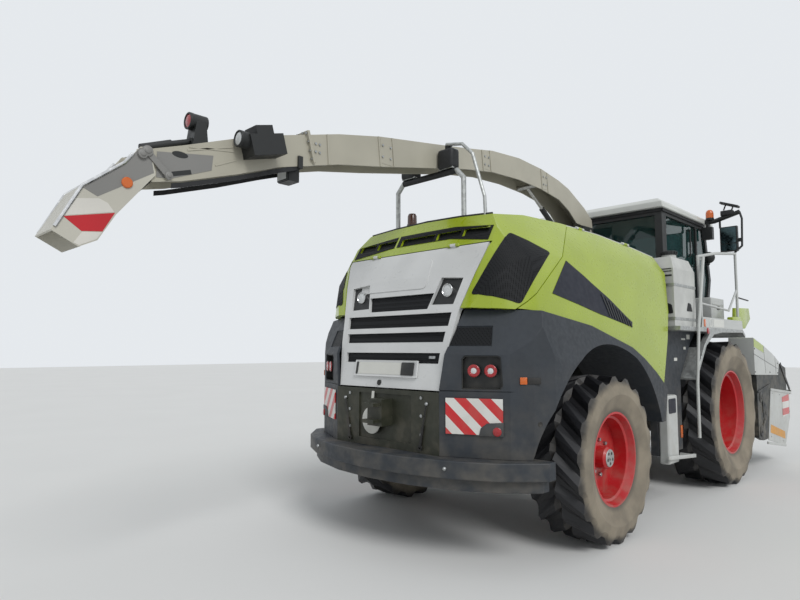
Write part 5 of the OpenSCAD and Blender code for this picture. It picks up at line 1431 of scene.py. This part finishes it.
class HARVESTER_OT_platform_dress(bpy.types.Operator):
    """Gratings and toe boards of the platforms, blank markers, tool box and green corner shields"""

    bl_idname = "harvester.platform_dress"
    bl_label = "Platform dress"

    def execute(self, context):
        for side, label in SIDES:
            bm = bmesh.new()
            for start, end in ((2.420, 2.900), (2.915, 3.410), (3.425, 3.950)):
                add_skin(bm, "platforms", [at(side * x, y, 1.950) for x, y in ((0.985, start), (0.985, end),
                    (1.360, end), (1.360, start))], 0.0, 0.004)
            make_piece("platform_grating_" + label, bm, "perforated", slot="galvanised")
            bm = bmesh.new()
            outline = [(2.380, 1.950), (2.420, 2.075), (3.960, 2.075), (3.985, 1.950)]
            if side < 0:
                outline = [(3.300, 1.950), (3.330, 2.075), (3.960, 2.075), (3.985, 1.950)]
            add_side_plate(bm, outline, 1.408, 1.419, side)
            rounded(bm, 0.002, 1)
            make_piece("toe_board_" + label, bm, "rail_grey")
            bm = bmesh.new()
            add_side_plate(bm, [(3.600, 1.951), (3.620, 2.120), (3.980, 2.135), (4.040, 1.965)], 1.330,
                1.404, side)
            rounded(bm, 0.012, 3)
            add_side_plate(bm, [(3.960, 1.985), (4.010, 2.262), (4.640, 2.285), (4.690, 2.130),
                (4.420, 1.985)], 1.290, 1.330, side)
            rounded(bm, 0.010)
            make_piece("corner_shield_" + label, bm, "hood_green")
        bm = bmesh.new()
        add_side_plate(bm, [(2.440, 1.960), (2.440, 2.050), (2.500, 2.050), (2.500, 1.960)], 1.419, 1.426)
        rounded(bm, 0.003)
        make_piece("side_marker_amber", bm, "amber")
        bm = bmesh.new()
        add_turned(bm, [(0.040, 0.0), (0.056, 0.0), (0.056, 0.002), (0.040, 0.002), (0.040, 0.0)],
            side_turn(1.419, 2.690, 2.013), 40)
        add_side_plate(bm, [(2.790, 1.965), (2.790, 2.060), (3.180, 2.060), (3.180, 1.965)], 1.419, 1.4205)
        make_piece("blank_ring_and_label", bm, "plate_white", merge=WELD)
        turned_piece("side_reflector", [(0, 0), (0.038, 0.0), (0.038, 0.006), (0.032, 0.010), (0, 0.011)],
            side_turn(1.420, 2.570, 1.912), "red_lens", sides=40)
        bm = bmesh.new()
        add_box(bm, at(0.975, 3.440, 1.951), at(1.200, 3.960, 2.385))
        rounded(bm, 0.012, 3)
        add_box(bm, at(1.198, 3.470, 2.290), at(1.206, 3.930, 2.305))
        make_piece("tool_box", bm, "rail_grey")
        bm = bmesh.new()
        add_box(bm, at(1.200, 3.660, 2.230), at(1.214, 3.740, 2.275))
        rounded(bm, 0.004)
        add_pipe(bm, [at(1.385, 3.905, 2.400), at(1.360, 4.100, 2.402), at(1.330, 4.620, 2.398)], 0.010, 10)
        make_piece("tool_box_catch_and_rod", bm, "rubber")
        return {"FINISHED"}


class HARVESTER_OT_skirt_dress(bpy.types.Operator):
    """Blank labels on the skirts, patch and foot rail of the step covers, ladder rungs and a low marker"""

    bl_idname = "harvester.skirt_dress"
    bl_label = "Skirt dress"

    def execute(self, context):
        for side, label in SIDES:
            bm = bmesh.new()
            for y, z, w, h in ((2.310, 1.810, 0.10, 0.055), (2.140, 1.800, 0.12, 0.020),
                               (2.200, 1.690, 0.07, 0.030), (1.900, 1.560, 0.09, 0.035)):
                add_side_plate(bm, [(y, z), (y, z + h), (y + w, z + h), (y + w, z)], 1.260, 1.2615, side)
            make_piece("blank_labels_" + label, bm, "plate_white")
            bm = bmesh.new()
            add_skin(bm, "step_covers", rounded_outline(rear_view([(1.268, 1.010), (1.268, 1.165),
                (1.352, 1.165), (1.352, 1.010)], 1.390, side), 0.02), 0.0, 0.003,
                inside=(side * 1.3, 1.5, 1.0))
            add_skin(bm, "step_covers", rounded_outline(side_view([(1.405, 1.010), (1.405, 1.165),
                (1.600, 1.165), (1.600, 1.010)], 1.370, side), 0.02), 0.0, 0.003)
            make_piece("step_cover_patch_" + label, bm, "navy_film")
            bm = bmesh.new()
            add_side_plate(bm, [(1.300, 0.545), (1.300, 0.585), (2.075, 0.520), (2.075, 0.480)], 1.372,
                1.400, side)
            rounded(bm, 0.004)
            for y, z in ((1.480, 0.560), (1.960, 0.515)):
                add_box(bm, at(side * 1.262, y, z - 0.012), at(side * 1.374, y + 0.030, z + 0.012))
            make_piece("foot_rail_" + label, bm, "rail_grey")
            bm = bmesh.new()
            add_box(bm, at(side * 1.260, 2.010, 0.690), at(side * 1.272, 2.060, 0.830))
            rounded(bm, 0.004)
            make_piece("low_marker_" + label, bm, "amber")
        bm = bmesh.new()
        for z, y in ((0.62, 2.080), (0.90, 2.080), (1.18, 2.080), (1.46, 2.110), (1.74, 2.160)):
            add_box(bm, at(-1.460, y - 0.015, z), at(-1.262, y + 0.235, z + 0.030))
        rounded(bm, 0.004)
        for y in (2.040, 2.330):
            add_strip(bm, (y, 0.560), (y + 0.09, 1.880), 0.036, 1.440, 1.465, -1)
            add_strip(bm, (y, 0.560), (y + 0.09, 1.880), 0.036, 1.262, 1.285, -1)
        make_piece("cab_ladder", bm, "galvanised")
        return {"FINISHED"}


class HARVESTER_OT_header_dress(bpy.types.Operator):
    """Green edges of the header's covers, blank boards and stripes of its guards, and the reel's bands"""

    bl_idname = "harvester.header_dress"
    bl_label = "Header dress"

    def execute(self, context):
        # Distances from the middle: the header's end plates, and the guards' outer faces
        half, guard = 1.480, 1.4925
        for side, label in SIDES:
            bm = bmesh.new()
            add_skin(bm, "header_covers", side_view([(4.182, 1.735), (4.182, 1.846), (4.690, 1.743),
                (4.690, 1.640)], half, side), 0.0, 0.002)
            add_skin(bm, "header_covers", [at(side * x, y, z) for x, y, z in ((1.165, 4.182, 1.848),
                (1.165, 4.690, 1.746), (1.478, 4.690, 1.746), (1.478, 4.182, 1.848))], 0.0, 0.002, 0.03)
            make_piece("cover_edge_" + label, bm, "hood_green", "header")
            bm = bmesh.new()
            for points in (((4.190, 1.630), (5.420, 1.400)), ((4.700, 1.738), (4.760, 1.345)),
                           ((5.300, 1.585), (5.330, 1.315))):
                add_strip(bm, points[0], points[1], 0.006, half, half + 0.0015, side)
            for y, z in ((4.230, 1.380), (4.980, 1.355), (5.410, 1.335), (4.240, 1.700), (5.420, 1.480)):
                add_hex_head(bm, side_turn(half, y, z, side), 0.018, 0.006)
            make_piece("cover_seams_" + label, bm, "cab_black", "header")
            bm = bmesh.new()
            add_side_plate(bm, [(5.540, 0.660), (5.540, 0.960), (5.940, 0.990), (5.940, 0.690)], guard,
                1.497, side)
            rounded(bm, 0.001, 1)
            make_piece("guard_board_" + label, bm, "board_white", "header")
            bm = bmesh.new()
            add_side_plate(bm, [(4.810, 0.500), (4.855, 0.610), (5.620, 0.440), (5.620, 0.330)], guard,
                1.4945, side)
            make_piece("guard_stripe_" + label, bm, "yellow_film", "header")
            bm = bmesh.new()
            add_strip(bm, (5.560, 1.470), (6.070, 1.050), 0.050, half, half + 0.012, side)
            for y, z, radius in ((4.640, 0.800, 0.120), (4.440, 1.020, 0.075), (4.420, 0.560, 0.085)):
                turn = side_turn(half, y, z, side)
                add_turned(bm, [(0, 0.0), (radius, 0.0), (radius, 0.004), (radius * 0.88, 0.009),
                    (radius * 0.35, 0.009), (radius * 0.30, 0.016), (0, 0.016)], turn, 36)
            for start, end in (((4.520, 0.800), (4.500, 1.060)),
                               ((4.360, 0.500), (4.560, 0.700)), ((4.300, 1.100), (4.900, 1.180))):
                add_strip(bm, start, end, 0.026, half + 0.001, half + 0.011, side)
            make_piece("header_drives_" + label, bm, "cab_black", "header", merge=WELD)
            bm = bmesh.new()
            for y, z in ((5.000, 1.050), (5.400, 1.010), (5.960, 0.720), (4.850, 0.440), (5.500, 0.310)):
                add_hex_head(bm, side_turn(1.492, y, z, side), 0.016, 0.006)
            make_piece("guard_bolts_" + label, bm, "zinc", "header")
        bm = bmesh.new()
        # Bands around the reel: each 80 mm wide and 135 mm from the next, in 14 flat lengths of 20 degrees
        axis_y, axis_z, radius, width = 5.250, 0.520, 0.170, 0.080
        ends = [math.radians(-150 + k * 20) for k in range(15)]
        rim = [(axis_y + radius * math.cos(a), axis_z + radius * math.sin(a)) for a in ends]
        for i in range(-9, 10):
            x = i * 0.135 - width / 2
            for first, second in zip(rim, rim[1:]):
                a, b = at(x, *first), at(x, *second)
                outward = (a + b) / 2 - at(x, axis_y, axis_z)
                across = Vector((width, 0, 0))
                add_plate(bm, [a, b, b + across, a + across], outward.normalized() * 0.002)
        make_piece("reel_bands", bm, "galvanised", "header", smooth=0.8)
        return {"FINISHED"}


class HARVESTER_OT_hitch_dress(bpy.types.Operator):
    """Bolts, gas struts and blank round sign of the hitch panel, door catch, and the fenders' fittings"""

    bl_idname = "harvester.hitch_dress"
    bl_label = "Hitch dress"

    def execute(self, context):
        bm = bmesh.new()
        for x in (0.451, -0.451):
            for z in (1.288, 1.140, 0.984):
                add_hex_head(bm, spot(x, -1.450, z) @ facing(BEHIND), 0.026, 0.012)
        for x, y, z in ((0.512, -1.456, 1.242), (0.790, -1.560, 0.772), (-0.512, -1.456, 1.242),
                        (-0.790, -1.560, 0.772)):
            bmesh.ops.create_uvsphere(bm, u_segments=16, v_segments=10, radius=0.017,
                                      matrix=spot(x, y, z))
        make_piece("hitch_bolts", bm, "zinc")
        bm = bmesh.new()
        for side in (1, -1):
            add_rod(bm, at(side * 0.512, -1.462, 1.242), at(side * 0.475, -1.462, 1.060), 0.005, sides=12)
            add_rod(bm, at(side * 0.475, -1.462, 1.060), at(side * 0.443, -1.462, 0.886), 0.011, sides=16)
            turn = spot(side * 0.443, -1.462, 0.880) @ facing(BEHIND)
            add_turned(bm, [(0.012, -0.006), (0.022, -0.006), (0.022, 0.006), (0.012, 0.006),
                (0.012, -0.006)], turn, 24)
        make_piece("hitch_struts", bm, "rubber", merge=WELD)
        bm = bmesh.new()
        add_turned(bm, [(0, 0.0), (0.118, 0.0), (0.118, 0.003), (0.112, 0.005), (0, 0.005)],
            spot(-0.136, -1.474, 1.060) @ facing(BEHIND), 48)
        add_plate(bm, [at(-0.152, -1.452, 1.318), at(-0.120, -1.452, 1.318), at(-0.120, -1.471, 1.150),
            at(-0.152, -1.471, 1.150)], (0, -0.003, 0))
        make_piece("blank_round_sign", bm, "plate_white", slot="door_grey", merge=WELD)
        bm = bmesh.new()
        place = on_surface("rear_door", at(0.500, -3, 1.620), (0, 1, 0))
        catch = add_box(bm, (-0.035, -0.012, 0.0), (0.035, 0.012, 0.018))
        put(bm, place, catch)
        rounded(bm, 0.003)
        make_piece("rear_door_catch", bm, "zinc", "door_rear")
        for side, label in SIDES:
            node = "fender_" + label
            place = on_surface(node, at(side * 1.9, -1.60, 1.445), (side * -0.66, 0.466, 0))
            bm = bmesh.new()
            lens = add_box(bm, (-0.028, -0.028, 0.0), (0.028, 0.028, 0.012))
            put(bm, place, lens)
            rounded(bm, 0.005)
            make_piece("fender_marker_" + label, bm, "amber")
            bm = bmesh.new()
            ends = sorted((side * 0.032, side * 0.135))
            holder = add_box(bm, (ends[0], -0.026, 0.0), (ends[1], 0.026, 0.007))
            put(bm, place, holder)
            rounded(bm, 0.003)
            make_piece("fender_marker_holder_" + label, bm, "rubber")
            point, normal = surface(node, at(side * 1.9, -1.041, 1.111), (-side, 0, 0))
            turned_piece("fender_plug_" + label, [(0, 0.001), (0.014, 0.001), (0.017, 0.003),
                (0.020, 0.001), (0.020, 0.0), (0, 0.0)], Matrix.Translation(point) @ facing(normal),
                "rubber", sides=24)
        return {"FINISHED"}


class HARVESTER_OT_beacon(bpy.types.Operator):
    """Rotating beacon on the right mirror arm"""

    bl_idname = "harvester.beacon"
    bl_label = "Beacon"

    def execute(self, context):
        foot = spot(1.05, 4.010, 3.530)
        turned_piece("beacon_base", [(0, 0), (0.052, 0), (0.056, 0.006), (0.056, 0.030), (0.050, 0.036),
            (0, 0.036)], foot, "cab_black")
        turned_piece("beacon_dome", [(0, 0.036), (0.052, 0.036), (0.053, 0.060), (0.053, 0.100),
            (0.047, 0.128), (0.033, 0.148), (0.016, 0.156), (0, 0.158)], foot, "amber")
        return {"FINISHED"}


class HARVESTER_OT_arm_lamp(bpy.types.Operator):
    """Flat work lamp on each mirror arm"""

    bl_idname = "harvester.arm_lamp"
    bl_label = "Arm lamps"

    def execute(self, context):
        for side, label in SIDES:
            bm = bmesh.new()
            add_box(bm, (-0.125, -0.055, -0.016), (0.125, 0.055, 0.016))
            rounded(bm, 0.008, 3)
            place = spot(side * 1.315, 4.01, 3.715) @ Matrix.Rotation(side * 0.38, 4, "Y")
            for x in (-0.05, 0.05):
                add_rod(bm, (x, 0, -0.010), (x, 0, -0.090), 0.010, sides=12)
            put(bm, place)
            make_piece("arm_lamp_" + label, bm, "cab_black")
        return {"FINISHED"}


class HARVESTER_OT_tank_caps(bpy.types.Operator):
    """Screw caps on the tanks"""

    bl_idname = "harvester.tank_caps"
    bl_label = "Tank caps"

    def execute(self, context):
        for side, label in SIDES:
            bm = bmesh.new()
            place = spot(side * 1.170, 2.100, 2.800)
            add_turned(bm, [(0, 0), (0.088, 0), (0.090, 0.006), (0.088, 0.040), (0.080, 0.046), (0, 0.048)],
                place)
            for i in range(16):
                turn = Matrix.Rotation(math.tau * i / 16, 4, "Z")
                ridge = add_box(bm, (0.084, -0.008, 0.006), (0.096, 0.008, 0.038))
                put(bm, place @ turn, ridge)
            make_piece("tank_cap_" + label, bm, "cab_black", merge=WELD)
        return {"FINISHED"}


class HARVESTER_OT_flap_cylinder(bpy.types.Operator):
    """Cylinder on top of the spout's end that turns the flap"""

    bl_idname = "harvester.flap_cylinder"
    bl_label = "Flap cylinder"

    def execute(self, context):
        bm = bmesh.new()
        add_rod(bm, at(0, -3.440, 3.068), at(0, -3.300, 3.118), 0.022)
        add_rod(bm, at(0, -3.640, 2.990), at(0, -3.440, 3.068), 0.030)
        for x in (-0.035, 0.035):
            add_plate(bm, [at(x, -3.300, 3.075), at(x, -3.330, 3.130), at(x, -3.280, 3.140),
                at(x, -3.240, 3.100)], (0.008 if x > 0 else -0.008, 0, 0))
        make_piece("flap_cylinder", bm, "cab_black", "spout_body")
        return {"FINISHED"}


OPERATORS = [
    HARVESTER_OT_stage, HARVESTER_OT_finishes, HARVESTER_OT_roof_edge,
    HARVESTER_OT_spout_joints, HARVESTER_OT_spout_end, HARVESTER_OT_flap_dress, HARVESTER_OT_spout_lenses,
    HARVESTER_OT_cradle_pads, HARVESTER_OT_wheel_details, HARVESTER_OT_rear_door_meshes,
    HARVESTER_OT_rear_door_lamps,
    HARVESTER_OT_plate_holder, HARVESTER_OT_door_field, HARVESTER_OT_vent_band, HARVESTER_OT_hood_screens,
    HARVESTER_OT_side_wedges, HARVESTER_OT_rear_corner, HARVESTER_OT_beacon, HARVESTER_OT_arm_lamp,
    HARVESTER_OT_tank_caps, HARVESTER_OT_flap_cylinder, HARVESTER_OT_cab_inside,
    HARVESTER_OT_seat_cushions, HARVESTER_OT_mirrors, HARVESTER_OT_cab_trim, HARVESTER_OT_tank_recess_shade,
    HARVESTER_OT_platform_dress, HARVESTER_OT_skirt_dress, HARVESTER_OT_header_dress,
    HARVESTER_OT_hitch_dress,
    # The ones that stand in for solids come last, because the others are placed on those solids
    HARVESTER_OT_soft_panels,
]


class HARVESTER_PT_panel(bpy.types.Panel):
    """Buttons for the harvester's pieces"""

    bl_idname = "HARVESTER_PT_panel"
    bl_label = "Forage Harvester"
    bl_space_type = "VIEW_3D"
    bl_region_type = "UI"
    bl_category = "Harvester"

    def draw(self, context):
        for group in (context.scene.harvester_colours, context.scene.harvester_sizes):
            for name in group.bl_rna.properties.keys():
                if name not in ("rna_type", "name"):
                    self.layout.prop(group, name)
        for operator in OPERATORS:
            self.layout.operator(operator.bl_idname)


CLASSES = [HarvesterColours, HarvesterSizes, *OPERATORS, HARVESTER_PT_panel]


def register():
    for item in CLASSES:
        bpy.utils.register_class(item)
    bpy.types.Scene.harvester_colours = bpy.props.PointerProperty(type=HarvesterColours)
    bpy.types.Scene.harvester_sizes = bpy.props.PointerProperty(type=HarvesterSizes)


def unregister():
    del bpy.types.Scene.harvester_sizes
    del bpy.types.Scene.harvester_colours
    for item in reversed(CLASSES):
        bpy.utils.unregister_class(item)


def main():
    """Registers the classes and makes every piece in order."""
    register()
    for operator in OPERATORS:
        group, name = operator.bl_idname.split(".")
        getattr(getattr(bpy.ops, group), name)()


if __name__ == "__main__":
    main()
